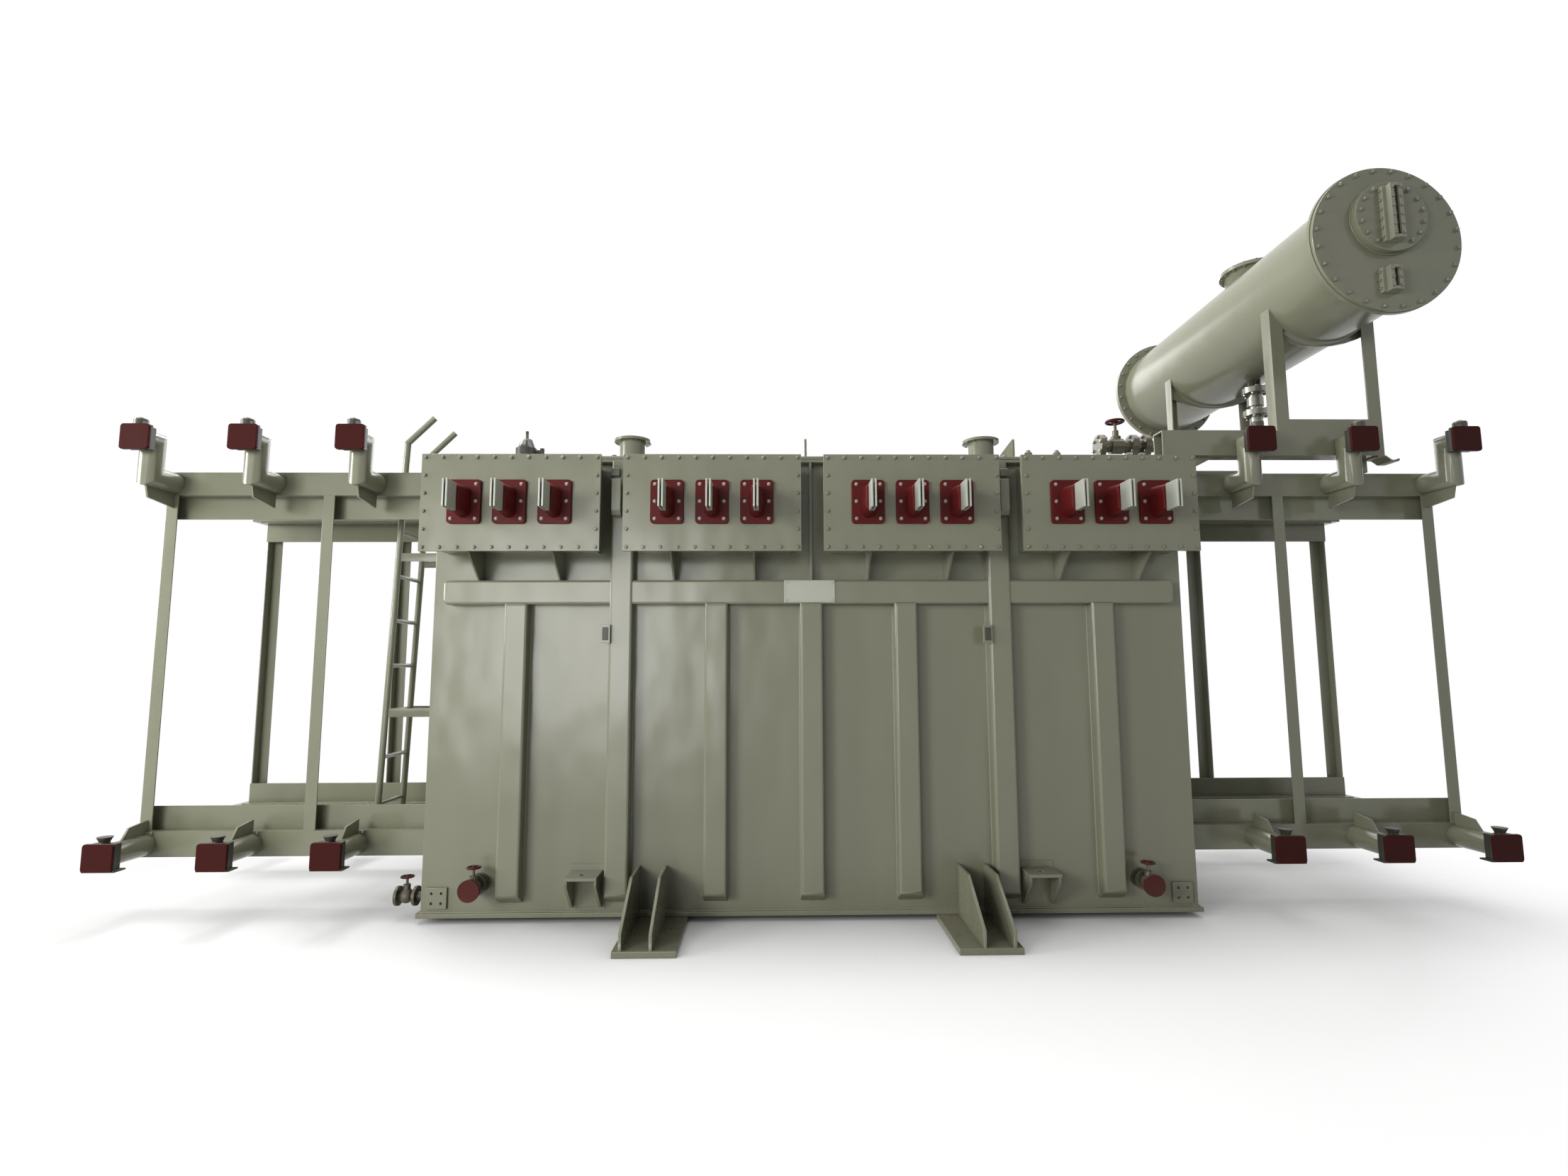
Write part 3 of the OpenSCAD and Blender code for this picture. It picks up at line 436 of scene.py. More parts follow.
def ease_edges(
    piece: Piece, width: float, segments: int, least: float = 0.0, keep: Optional[Test] = None
) -> Piece:
    """Rounds the sharp edges of a piece.

    Args:
        piece: the piece, which is in object mode.
        width: how far the rounding reaches from an edge.
        segments: the steps across the rounding.
        least: shorter edges are left as they are.
        keep: tells from an edge's middle whether it is rounded.

    Returns:
        The piece, in object mode.
    """
    with editing(piece, "EDGE") as shape:
        for edge in shape.edges:
            if len(edge.link_faces) != 2 or edge.calc_length() < least:
                continue
            middle = (edge.verts[0].co + edge.verts[1].co) / 2.0
            edge.select_set(edge.calc_face_angle_signed(0.0) > SHARP and (keep is None or keep(middle)))
        bmesh.update_edit_mesh(piece.data)
        bpy.ops.mesh.bevel(offset=width, segments=segments, affect="EDGES", clamp_overlap=True)
    return piece


def block(low: Point, high: Point, ease: float = 0.0) -> Piece:
    """Models a block with eased edges.

    Args:
        low: its lowest corner.
        high: its highest corner.
        ease: how far the edges are rounded.

    Returns:
        The new piece.
    """
    clear_selection()
    low, high = Vector(low), Vector(high)
    bpy.ops.mesh.primitive_cube_add(size=1.0, location=(low + high) / 2.0)
    piece = bpy.context.object
    piece.scale = high - low
    settle(piece)
    if ease:
        ease_edges(piece, ease, 2)
    return smooth(piece)


def slab(low: Pair, high: Pair, back: float, face: float) -> Piece:
    """Models a slab on a wall from its corners in X and Z, and its back and face in Y."""
    near, far = sorted((back, face))
    return block((low[0], near, low[1]), (high[0], far, high[1]))


def round_bar(foot: Point, top: Point, radius: float, sides: int = 24, ease: float = 0.0) -> Piece:
    """Models a round bar between two points, with eased rims.

    Args:
        foot: the middle of one end.
        top: the middle of the other end.
        radius: the bar's radius.
        sides: its number of sides.
        ease: how far its rims are rounded.

    Returns:
        The new piece.
    """
    clear_selection()
    foot, top = Vector(foot), Vector(top)
    turn = Vector(UP).rotation_difference(top - foot).to_euler()
    bpy.ops.mesh.primitive_cylinder_add(
        vertices=sides, radius=radius, depth=(top - foot).length, location=(foot + top) / 2.0, rotation=turn
    )
    piece = settle(bpy.context.object)
    if ease:
        ease_edges(piece, ease, 2)
    return smooth(piece)


def join(name: str, pieces: Sequence[Piece]) -> Piece:
    """Joins pieces into the first one.

    Args:
        name: the joined piece's name.
        pieces: what is joined.

    Returns:
        The joined piece.
    """
    take(pieces[0])
    for piece in pieces[1:]:
        piece.select_set(True)
    bpy.ops.object.join()
    return rename(bpy.context.object, name)


def facing(at: Point, normal: Point, turn: float = 0.0) -> Matrix:
    """Gives the place of a copy whose own Z points along a normal.

    Args:
        at: where the copy's origin goes.
        normal: where its Z points.
        turn: how far it is turned about that normal, in radians.

    Returns:
        The place as a matrix.
    """
    lean = Vector(UP).rotation_difference(Vector(normal)).to_matrix().to_4x4()
    return Matrix.Translation(Vector(at)) @ lean @ Matrix.Rotation(turn, 4, "Z")


def spread(name: str, model: Piece, places: Iterable[Matrix]) -> Piece:
    """Copies a model to many places as one mesh and removes the model.

    Args:
        name: the new piece's name.
        model: the piece that is repeated, modelled at the origin.
        places: where each copy goes.

    Returns:
        The new piece.
    """
    base = [vertex.co.copy() for vertex in model.data.vertices]
    outlines = [tuple(face.vertices) for face in model.data.polygons]
    points: list[Vector] = []
    faces: list[tuple[int, ...]] = []
    for place in places:
        start = len(points)
        points.extend(place @ point for point in base)
        step = -1 if place.determinant() < 0.0 else 1
        faces.extend(tuple(start + index for index in outline)[::step] for outline in outlines)
    mesh = bpy.data.meshes.new(name)
    mesh.from_pydata(points, [], faces)
    mesh.update()
    piece = bpy.data.objects.new(name, mesh)
    bpy.context.scene.collection.objects.link(piece)
    bpy.data.objects.remove(model)
    return smooth(piece)


def ring(middle: Point, radius: float, count: int, normal: Point, start: float = 0.0) -> list[Matrix]:
    """Gives places on a circle in a plane across X, Y or Z.

    Args:
        middle: the circle's middle.
        radius: its radius.
        count: the number of places.
        normal: where each copy's Z points.
        start: the angle of the first place, in radians.

    Returns:
        One place for each copy.
    """
    axis = Vector(normal)
    first = Vector(RIGHT) if abs(axis.x) < 0.5 else Vector(REAR)
    second = axis.cross(first)
    places = []
    for k in range(count):
        angle = start + 2.0 * math.pi * k / count
        out = first * math.cos(angle) + second * math.sin(angle)
        places.append(facing(Vector(middle) + out * radius, axis, angle))
    return places


def bead_runs(name: str, runs: Sequence[tuple[Point, Point]], radius: float) -> Piece:
    """Models weld beads along straight runs.

    Args:
        name: the piece's name.
        runs: both ends of each bead.
        radius: a bead's radius.

    Returns:
        All beads as one piece.
    """
    places = []
    for foot, top in runs:
        way = Vector(top) - Vector(foot)
        places.append(facing(foot, way) @ Matrix.Diagonal((1.0, 1.0, way.length, 1.0)))
    return spread(name, round_bar(ORIGIN, UP, radius, 7, radius * 0.5), places)


@dataclass(frozen=True)
class HexBolt:
    """A hexagon bolt head on a washer, standing on the plane of its origin."""

    across: float
    height: float
    washer: float
    chamfer: float = 0.22
    seat: float = 0.25

    def model(self) -> Piece:
        """Models the bolt head once.

        Returns:
            The bolt head at the origin, with its Z outwards.
        """
        head = round_bar(ORIGIN, (0.0, 0.0, self.height), self.across / HEX_RATIO, 6)
        ease_edges(head, self.height * self.chamfer, 1, keep=lambda middle: middle.z > self.height * 0.9)
        washer = round_bar(ORIGIN, (0.0, 0.0, self.height * self.seat), self.washer / 2.0, 12)
        return join("bolt_model", [head, washer])


@dataclass
class Workshop:
    """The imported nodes, the made materials and the way that pieces join the object."""

    nodes: dict[str, Piece]
    materials: dict[Dressing, bpy.types.Material] = field(default_factory=dict)
    merge: float = 0.00005
    flatness: float = 0.4

    def mix_paints(self) -> None:
        """Builds every material once."""
        film = film_group()
        soil_and_shade = soil_and_shade_group()
        for dressing in Dressing:
            self.materials[dressing] = dressing.value.material(film, soil_and_shade)

    def copy_node(self, node: str, width: float = 0.0, least: float = 0.02) -> Piece:
        """Copies a node's mesh, merges it and eases its edges.

        Args:
            node: the node to copy.
            width: how far its edges are rounded, or 0.
            least: edges shorter than this stay sharp.

        Returns:
            The new piece.
        """
        name = "dressed_" + node
        piece = rename(bpy.data.objects.new(name, self.nodes[node].data.copy()), name)
        piece.data.materials.clear()
        bpy.context.scene.collection.objects.link(piece)
        with editing(piece):
            bpy.ops.mesh.select_all(action="SELECT")
            bpy.ops.mesh.remove_doubles(threshold=self.merge)
            bpy.ops.mesh.dissolve_limited(angle_limit=math.radians(self.flatness))
        if width:
            ease_edges(piece, width, 2, least)
        return smooth(piece)

    def split_off(self, piece: Piece, name: str, test: Test) -> Piece:
        """Parts some faces of a piece from the rest.

        Args:
            piece: the piece, which keeps the other faces.
            name: the new piece's name.
            test: tells from a face's middle whether it is parted.

        Returns:
            The new piece.
        """
        with editing(piece, "FACE") as shape:
            for face in shape.faces:
                face.select_set(test(face.calc_center_median()))
            bmesh.update_edit_mesh(piece.data)
            bpy.ops.mesh.separate(type="SELECTED")
        parted = [other for other in bpy.context.selected_objects if other is not piece]
        return rename(parted[0], name)

    def dress(self, piece: Piece, dressing: Dressing, *nodes: str) -> None:
        """Gives a piece its finish and its place in the object.

        Args:
            piece: the finished piece.
            dressing: what it wears.
            nodes: the nodes that it stands for.
        """
        piece.data.materials.clear()
        piece.data.materials.append(self.materials[dressing])
        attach(piece, BODY)
        if nodes:
            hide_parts(*nodes)
        LOG.info("%s wears %s, %d faces", piece.name, dressing.value.name, len(piece.data.polygons))

    def scatter(
        self, name: str, model: Piece, places: Iterable[Matrix], dressing: Dressing, *nodes: str
    ) -> None:
        """Dresses copies of a model at many places as one piece."""
        self.dress(spread(name, model, places), dressing, *nodes)

    def redress(self, node: str, dressing: Dressing, width: float = 0.0, least: float = 0.02) -> None:
        """Dresses an eased copy of a node in place of the node itself."""
        self.dress(self.copy_node(node, width, least), dressing, node)


@dataclass
class TankShell:
    """The tank with its cover, base, skids, stiffeners, pads, clips, welds and cover bolts."""

    shop: Workshop
    edge: float = 0.003
    fold: float = 0.013
    corner: float = 0.024
    steps: int = 3
    depth: float = 0.075
    proud: float = 0.006
    width: float = 0.122
    level: Pair = (1.650, 1.780)
    lap: float = 0.004
    slope: float = 0.048
    full_x: float = 1.014
    rib: Pair = (0.006, 0.060)  # half thickness, reach
    base_rim: float = 0.018
    bead: float = 0.006
    bead_foot: float = 0.120
    seam: Triple = (0.052, 0.0015, 0.002)  # half length, depth below the face, drop
    clip: Triple = (0.050, 0.012, 0.097)  # width, thickness, height
    clip_back: float = 0.059
    clip_leg: Pair = (0.008, 0.100)  # thickness, reach to the rear
    clip_ease: float = 0.002
    clip_spots: tuple[Pair, ...] = ((-1.113, 1.444), (0.911, 1.438))
    pad_inset: Pair = (0.009, 0.014)
    pad_span: Pair = (-0.003, 0.002)
    pad_ease: float = 0.0015
    cover_bolt: HexBolt = HexBolt(0.024, 0.013, 0.036)
    cover_pitch: float = 0.165
    cover_inset: float = 0.028

    def build(self) -> None:
        """Builds and dresses the tank's pieces."""
        plates = ("tank_body", "tank_cover", "tank_base_plate", "base_skids", "jacking_pads", "earth_pads")
        for node in plates:
            self.shop.redress(node, Dressing.PAINT, self.edge)
        for node, side in (("front_stiffeners", -1.0), ("rear_stiffeners", 1.0)):
            self.shop.dress(self.stiffeners(node, side), Dressing.PAINT, node)
        self.shop.dress(self.wall_beads(), Dressing.WELD)
        clips, pads = self.clips()
        self.shop.dress(clips, Dressing.PAINT)
        self.shop.dress(pads, Dressing.DARK)
        places = self.cover_places()
        self.shop.scatter("tank_cover_bolts", self.cover_bolt.model(), places, Dressing.BOLT_PAINT)

    def stiffeners(self, node: str, side: float) -> Piece:
        """Models one wall's folded stiffeners, its rib and its hooks.

        Args:
            node: the node that they stand for.
            side: -1 for the front wall, 1 for the rear wall.

        Returns:
            All of them as one piece.
        """
        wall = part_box("rear_stiffeners")[0].y
        low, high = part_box(node)
        under, over = self.level
        back, face = side * wall, side * (wall + self.depth)
        beam = slab((-high.x, under), (high.x, over), back, face)
        ease_edges(beam, self.corner, self.steps,
                   keep=lambda m: abs(m.x) > high.x - HAIR and abs(m.y - face) > HAIR)
        parts = [smooth(ease_edges(beam, self.fold, self.steps, keep=lambda m: abs(m.y - face) < HAIR))]
        for x in self.upright_middles():
            full = abs(abs(x) - self.full_x) < self.width / 2
            out = face + side * self.proud if full else face
            top = high.z if full else under + self.lap
            parts.append(self.upright(x, (low.z, top), back, out))
        thick, reach = self.rib
        parts.append(slab((-thick, over - HAIR), (thick, high.z), back, side * (wall + reach)))
        parts.append(self.hooks(node, side, wall + self.depth + self.proud + HAIR / 2))
        return join("dressed_" + node, parts)

    def upright_middles(self) -> list[float]:
        """Reads the middles of the upright stiffeners from the node's lowest vertices.

        Returns:
            Their places in X, from left to right.
        """
        node = self.shop.nodes["rear_stiffeners"]
        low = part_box("rear_stiffeners")[0].z
        feet = sorted({round(v.co.x, 4) for v in node.data.vertices if v.co.z < low + HAIR})
        return [(feet[k] + feet[k + 1]) / 2.0 for k in range(0, len(feet) - 1, 2)]

    def upright(self, x: float, span: Pair, back: float, face: float) -> Piece:
        """Models an upright stiffener with folded edges and a sloping foot.

        Args:
            x: the place of its middle.
            span: the heights of its lower and upper end.
            back: the wall's place in Y.
            face: its own face's place in Y.

        Returns:
            The upright.
        """
        low, top = span
        half = self.width / 2
        piece = slab((x - half, low), (x + half, top), back, face)
        with editing(piece):
            pick(piece, lambda at: abs(at.y - face) < HAIR and at.z < low + HAIR)
            bpy.ops.transform.translate(value=(0.0, 0.0, self.slope))
        ease_edges(piece, self.fold, self.steps, keep=lambda m: abs(m.y - face) < HAIR and m.z < top - HAIR)
        return smooth(piece)

    def hooks(self, node: str, side: float, plane: float) -> Piece:
        """Cuts the hooks and stops that stand out in front of the uprights from a copy of the node.

        Args:
            node: the node with the hooks.
            side: -1 for the front wall, 1 for the rear wall.
            plane: how far from the middle the cut lies.

        Returns:
            The hooks and stops, let a little into the uprights.
        """
        piece = self.shop.copy_node(node)
        cut = (0.0, side * plane, 0.0)
        with editing(piece):
            bpy.ops.mesh.select_all(action="SELECT")
            bpy.ops.mesh.bisect(plane_co=cut, plane_no=(0.0, side, 0.0), use_fill=True, clear_inner=True)
        ease_edges(piece, self.edge, 2, keep=lambda m: abs(m.y) > plane + HAIR)
        with editing(piece):
            pick(piece, lambda at: abs(at.y) < plane + HAIR / 10)
            bpy.ops.transform.translate(value=(0.0, -side * self.proud, 0.0))
        return smooth(piece)

    def wall_beads(self) -> Piece:
        """Models the welds along the foot of the walls and beside the stiffeners.

        Returns:
            All beads as one piece.
        """
        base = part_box("tank_base_plate")[1]
        wall_x = base.x - self.base_rim
        wall_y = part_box("rear_stiffeners")[0].y
        half, under = self.width / 2, self.level[0]
        reach, sink, drop = self.seam
        runs = []
        for side in SIDES:
            y = side * wall_y
            runs.append(((-wall_x, y, base.z), (wall_x, y, base.z)))
            runs.append(((side * wall_x, -wall_y, base.z), (side * wall_x, wall_y, base.z)))
            face = side * (wall_y + self.depth - sink)
            for x in self.upright_middles():
                for edge in (x - half, x + half):
                    runs.append(((edge, y, self.bead_foot), (edge, y, under)))
                runs.append(((x - reach, face, under - drop), (x + reach, face, under - drop)))
        return bead_runs("wall_welds", runs, self.bead)

    def clips(self) -> tuple[Piece, Piece]:
        """Models the small clip plates beside the full-height stiffeners and the dark pads on them.

        Returns:
            Both clips as one piece, and both pads as one piece.
        """
        wide, thick, tall = self.clip
        leg, reach = self.clip_leg
        aside, rise = self.pad_inset
        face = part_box("front_stiffeners")[0].y + self.clip_back
        near, far = (face + way for way in self.pad_span)
        plates, pads = [], []
        for x, low in self.clip_spots:
            right, top = x + wide, low + tall
            plates.append(block((x, face, low), (right, face + thick, top), self.clip_ease))
            plates.append(block((right - leg, face + leg, low), (right, face + reach, top), self.clip_ease))
            pads.append(block((x + aside, near, low + rise), (right - aside, far, top - rise), self.pad_ease))
        return join("wall_clips", plates), join("clip_pads", pads)

    def cover_places(self) -> Iterator[Matrix]:
        """Gives the places of the bolts along the cover's rim, and of their nuts at the ends and the rear.

        Yields:
            One place for each bolt head or nut.
        """
        low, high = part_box("tank_cover")
        under = low.z - (high.z - low.z)
        x, y = high.x - self.cover_inset, high.y - self.cover_inset
        corners = [Vector((-x, -y, 0.0)), Vector((x, -y, 0.0)), Vector((x, y, 0.0)), Vector((-x, y, 0.0))]
        for k, start in enumerate(corners):
            way = corners[(k + 1) % 4] - start
            count = round(way.length / self.cover_pitch)
            for step in range(count):
                at = start + way * (step / count)
                yield facing((at.x, at.y, high.z), UP, step)
                if k:
                    yield facing((at.x, at.y, under), DOWN, step)


@dataclass
class LowVoltageFront:
    """The four chambers with their bolted covers, cast bushings and palm terminals."""

    shop: Workshop
    chambers: Sequence[int] = range(1, 5)
    edge: float = 0.002
    terminal_edge: Pair = (0.0015, 0.004)
    columns: int = 11
    rows: int = 6
    inset: float = 0.020
    bolt: HexBolt = HexBolt(0.016, 0.011, 0.022)
    casting_bolt: HexBolt = HexBolt(0.014, 0.009, 0.019)
    casting_spots: Pair = (0.062, 0.090)
    pitch: float = 0.231
    flange: Triple = (0.171, 0.020, 0.229)
    flange_corner: float = 0.018
    flange_rim: float = 0.004
    boss: Triple = (0.080, 0.117, 0.166)
    boss_tip: float = 0.052
    boss_seat: float = 0.004
    boss_rim: float = 0.008
    rise: float = -0.004

    def build(self) -> None:
        """Builds and dresses the chambers and all that is on them."""
        for k in self.chambers:
            for kind in ("lv_chamber", "lv_cover"):
                self.shop.redress(f"{kind}_{k}", Dressing.PAINT, self.edge)
        self.shop.scatter("cover_bolts", self.bolt.model(), self.cover_places(), Dressing.BOLT_PAINT)
        places = self.bushing_places()
        self.shop.scatter("bushing_castings", self.casting(), places, Dressing.RED, "lv_bushings")
        spots = self.casting_places(places)
        self.shop.scatter("bushing_bolts", self.casting_bolt.model(), spots, Dressing.ZINC)
        self.shop.redress("lv_terminals", Dressing.TINNED, *self.terminal_edge)

    def cover_places(self) -> Iterator[Matrix]:
        """Gives the places of the bolts round the edge of each cover, each turned differently.

        Yields:
            One place for each bolt.
        """
        for k in self.chambers:
            low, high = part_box(f"lv_cover_{k}")
            wide, tall = high.x - low.x - 2 * self.inset, high.z - low.z - 2 * self.inset
            for column in range(self.columns):
                for row in range(self.rows):
                    if 0 < column < self.columns - 1 and 0 < row < self.rows - 1:
                        continue
                    x = low.x + self.inset + wide * column / (self.columns - 1)
                    z = low.z + self.inset + tall * row / (self.rows - 1)
                    yield facing((x, low.y, z), FRONT, 0.7 * column + row)

    def bushing_places(self) -> list[Matrix]:
        """Gives the place of each bushing on its cover.

        Returns:
            One place for each bushing.
        """
        places = []
        for k in self.chambers:
            low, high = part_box(f"lv_cover_{k}")
            for step in (-1, 0, 1):
                at = ((low.x + high.x) / 2.0 + step * self.pitch, low.y, (low.z + high.z) / 2.0)
                places.append(Matrix.Translation(at))
        return places

    def casting_places(self, bushings: Sequence[Matrix]) -> Iterator[Matrix]:
        """Gives the places of the six bolts on each bushing's flange, each turned differently.

        Args:
            bushings: the bushings' places.

        Yields:
            One place for each bolt.
        """
        aside, apart = self.casting_spots
        for bushing in bushings:
            for x in (-aside, aside):
                for z in (-apart, 0.0, apart):
                    yield bushing @ facing((x, -self.flange[1], z), FRONT, 3.0 * x + 8.0 * z)

    def casting(self) -> Piece:
        """Models one bushing: a flange with round corners and a tapered boss with round ends.

        Returns:
            The bushing at the origin, standing out towards the front.
        """
        wide, thick, tall = self.flange
        plate = block((-wide / 2, -thick, -tall / 2), (wide / 2, 0.0, tall / 2))
        ease_edges(plate, self.flange_corner, 5,
                   keep=lambda m: abs(m.x) > wide / 2 - HAIR and abs(m.z) > tall / 2 - HAIR)
        ease_edges(plate, self.flange_rim, 2, keep=lambda m: m.y < -thick + HAIR)
        across, reach, height = self.boss
        clear_selection()
        bpy.ops.mesh.primitive_cylinder_add(
            vertices=32, radius=across / 2, depth=reach + self.boss_seat, rotation=(math.pi / 2, 0.0, 0.0),
            location=(0.0, -thick - reach / 2 + self.boss_seat / 2, 0.0),
        )
        boss = settle(bpy.context.object)
        stretch = (height - across) / 2
        ratio = self.boss_tip / across
        front = -thick - reach + 2 * HAIR
        with editing(boss):
            pick(boss, lambda point: point.y < front)
            bpy.ops.transform.resize(value=(ratio, 1.0, ratio))
            for side in SIDES:
                pick(boss, lambda point: point.z * side > HAIR / 5)
                bpy.ops.transform.translate(value=(0.0, 0.0, side * stretch))
            pick(boss, lambda point: True)
            bpy.ops.transform.translate(value=(0.0, 0.0, self.rise))
        ease_edges(boss, self.boss_rim, 3, keep=lambda m: m.y < front)
        return join("bushing_model", [plate, boss])


@dataclass
class CoolingHeaders:
    """The headers, posts, radiator valves and blank plates at both ends."""

    shop: Workshop
    edge: float = 0.003
    header_least: float = 0.5
    post_least: float = 0.3
    valve_least: float = 0.04
    facet: float = 12.0
    blank: Triple = (0.155, 0.014, 0.140)
    corner: float = 0.016
    rim: float = 0.004
    cap_rim: Pair = (0.031, 0.006)
    cap_nut: Triple = (0.014, 0.005, 0.014)
    cap_ease: float = 0.002
    cap_at: Pair = (0.040, 0.098)  # behind and above a plate's front middle
    lug: Triple = (-0.006, 0.034, 0.015)  # left end, right end, radius
    lug_ease: float = 0.009
    lug_at: Triple = (0.004, 0.463, 0.123)  # aside of a plate, from the middle, above the node's foot

    def build(self) -> None:
        """Builds and dresses the headers at both ends."""
        for side in ("left", "right"):
            for row in ("front", "rear"):
                header = f"{side}_{row}_headers"
                copy = self.shop.copy_node(header, self.edge, self.header_least)
                self.shop.dress(smooth(copy, self.facet), Dressing.PAINT, header)
                self.shop.redress(f"{side}_{row}_posts", Dressing.PAINT, self.edge, self.post_least)
            self.shop.redress(f"{side}_radiator_valves", Dressing.DARK, self.edge, self.valve_least)
            node = f"{side}_blanks"
            places = self.blank_places(node)
            caps, knobs = self.fitting_places(places)
            self.shop.scatter(f"{side}_blank_plates", self.plate(), places, Dressing.BLANK_RED, node)
            self.shop.scatter(f"{side}_valve_plugs", self.cap(), caps, Dressing.PAINT)
            self.shop.scatter(f"{side}_header_knobs", self.knob(), knobs, Dressing.PAINT)

    def blank_places(self, node: str) -> list[Matrix]:
        """Reads the middle of every blank plate from the node's front and rear faces.

        Args:
            node: the node with the blank plates of one end.

        Returns:
            A place for each plate, with its own Y towards the header.
        """
        low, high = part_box(node)
        wide, _, tall = self.blank
        step = (high.x - low.x - wide) / 2.0
        places = []
        for row, y in ((1.0, low.y), (-1.0, high.y)):
            for k in range(3):
                for z in (low.z + tall / 2, high.z - tall / 2):
                    at = Matrix.Translation((low.x + wide / 2 + k * step, y, z))
                    places.append(at @ Matrix.Diagonal((1.0, row, 1.0, 1.0)))
        return places

    def plate(self) -> Piece:
        """Models one blank plate with round corners and an eased rim.

        Returns:
            The plate at the origin, its front at Y 0.
        """
        wide, thick, tall = self.blank
        piece = block((-wide / 2, 0.0, -tall / 2), (wide / 2, thick, tall / 2))
        ease_edges(piece, self.corner, 4,
                   keep=lambda m: abs(m.x) > wide / 2 - HAIR and abs(m.z) > tall / 2 - HAIR)
        return ease_edges(piece, self.rim, 3, keep=lambda m: m.y < HAIR)

    def cap(self) -> Piece:
        """Models the round cap of an upper valve's plug, with a raised hexagon.

        Returns:
            The cap at the origin, its Z up.
        """
        radius, thick = self.cap_rim
        nut_radius, foot, top = self.cap_nut
        cap = round_bar(ORIGIN, (0.0, 0.0, thick), radius, 24, self.cap_ease)
        nut = round_bar((0.0, 0.0, foot), (0.0, 0.0, top), nut_radius, 6, self.cap_ease)
        return join("cap_model", [cap, nut])

    def knob(self) -> Piece:
        """Models a round-nosed lug on a bottom header's edge, at the origin and lying along X."""
        left, right, radius = self.lug
        return round_bar((left, 0.0, 0.0), (right, 0.0, 0.0), radius, 16, self.lug_ease)

    def fitting_places(self, blanks: Sequence[Matrix]) -> tuple[list[Matrix], list[Matrix]]:
        """Gives the places of the caps above the upper blank plates and of the lugs beside the lower ones.

        Args:
            blanks: the places of all blank plates.

        Returns:
            One place for each cap, and one for each lug.
        """
        back, rise = self.cap_at
        aside, out, lift = self.lug_at
        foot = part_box("left_front_headers")[0].z + lift
        level = sum(place.translation.z for place in blanks) / len(blanks)
        caps, knobs = [], []
        for x, y, z in (place.translation for place in blanks):
            if z > level:
                caps.append(Matrix.Translation((x, y - math.copysign(back, y), z + rise)))
            else:
                knobs.append(Matrix.Translation((x + aside, math.copysign(out, y), foot)))
        return caps, knobs


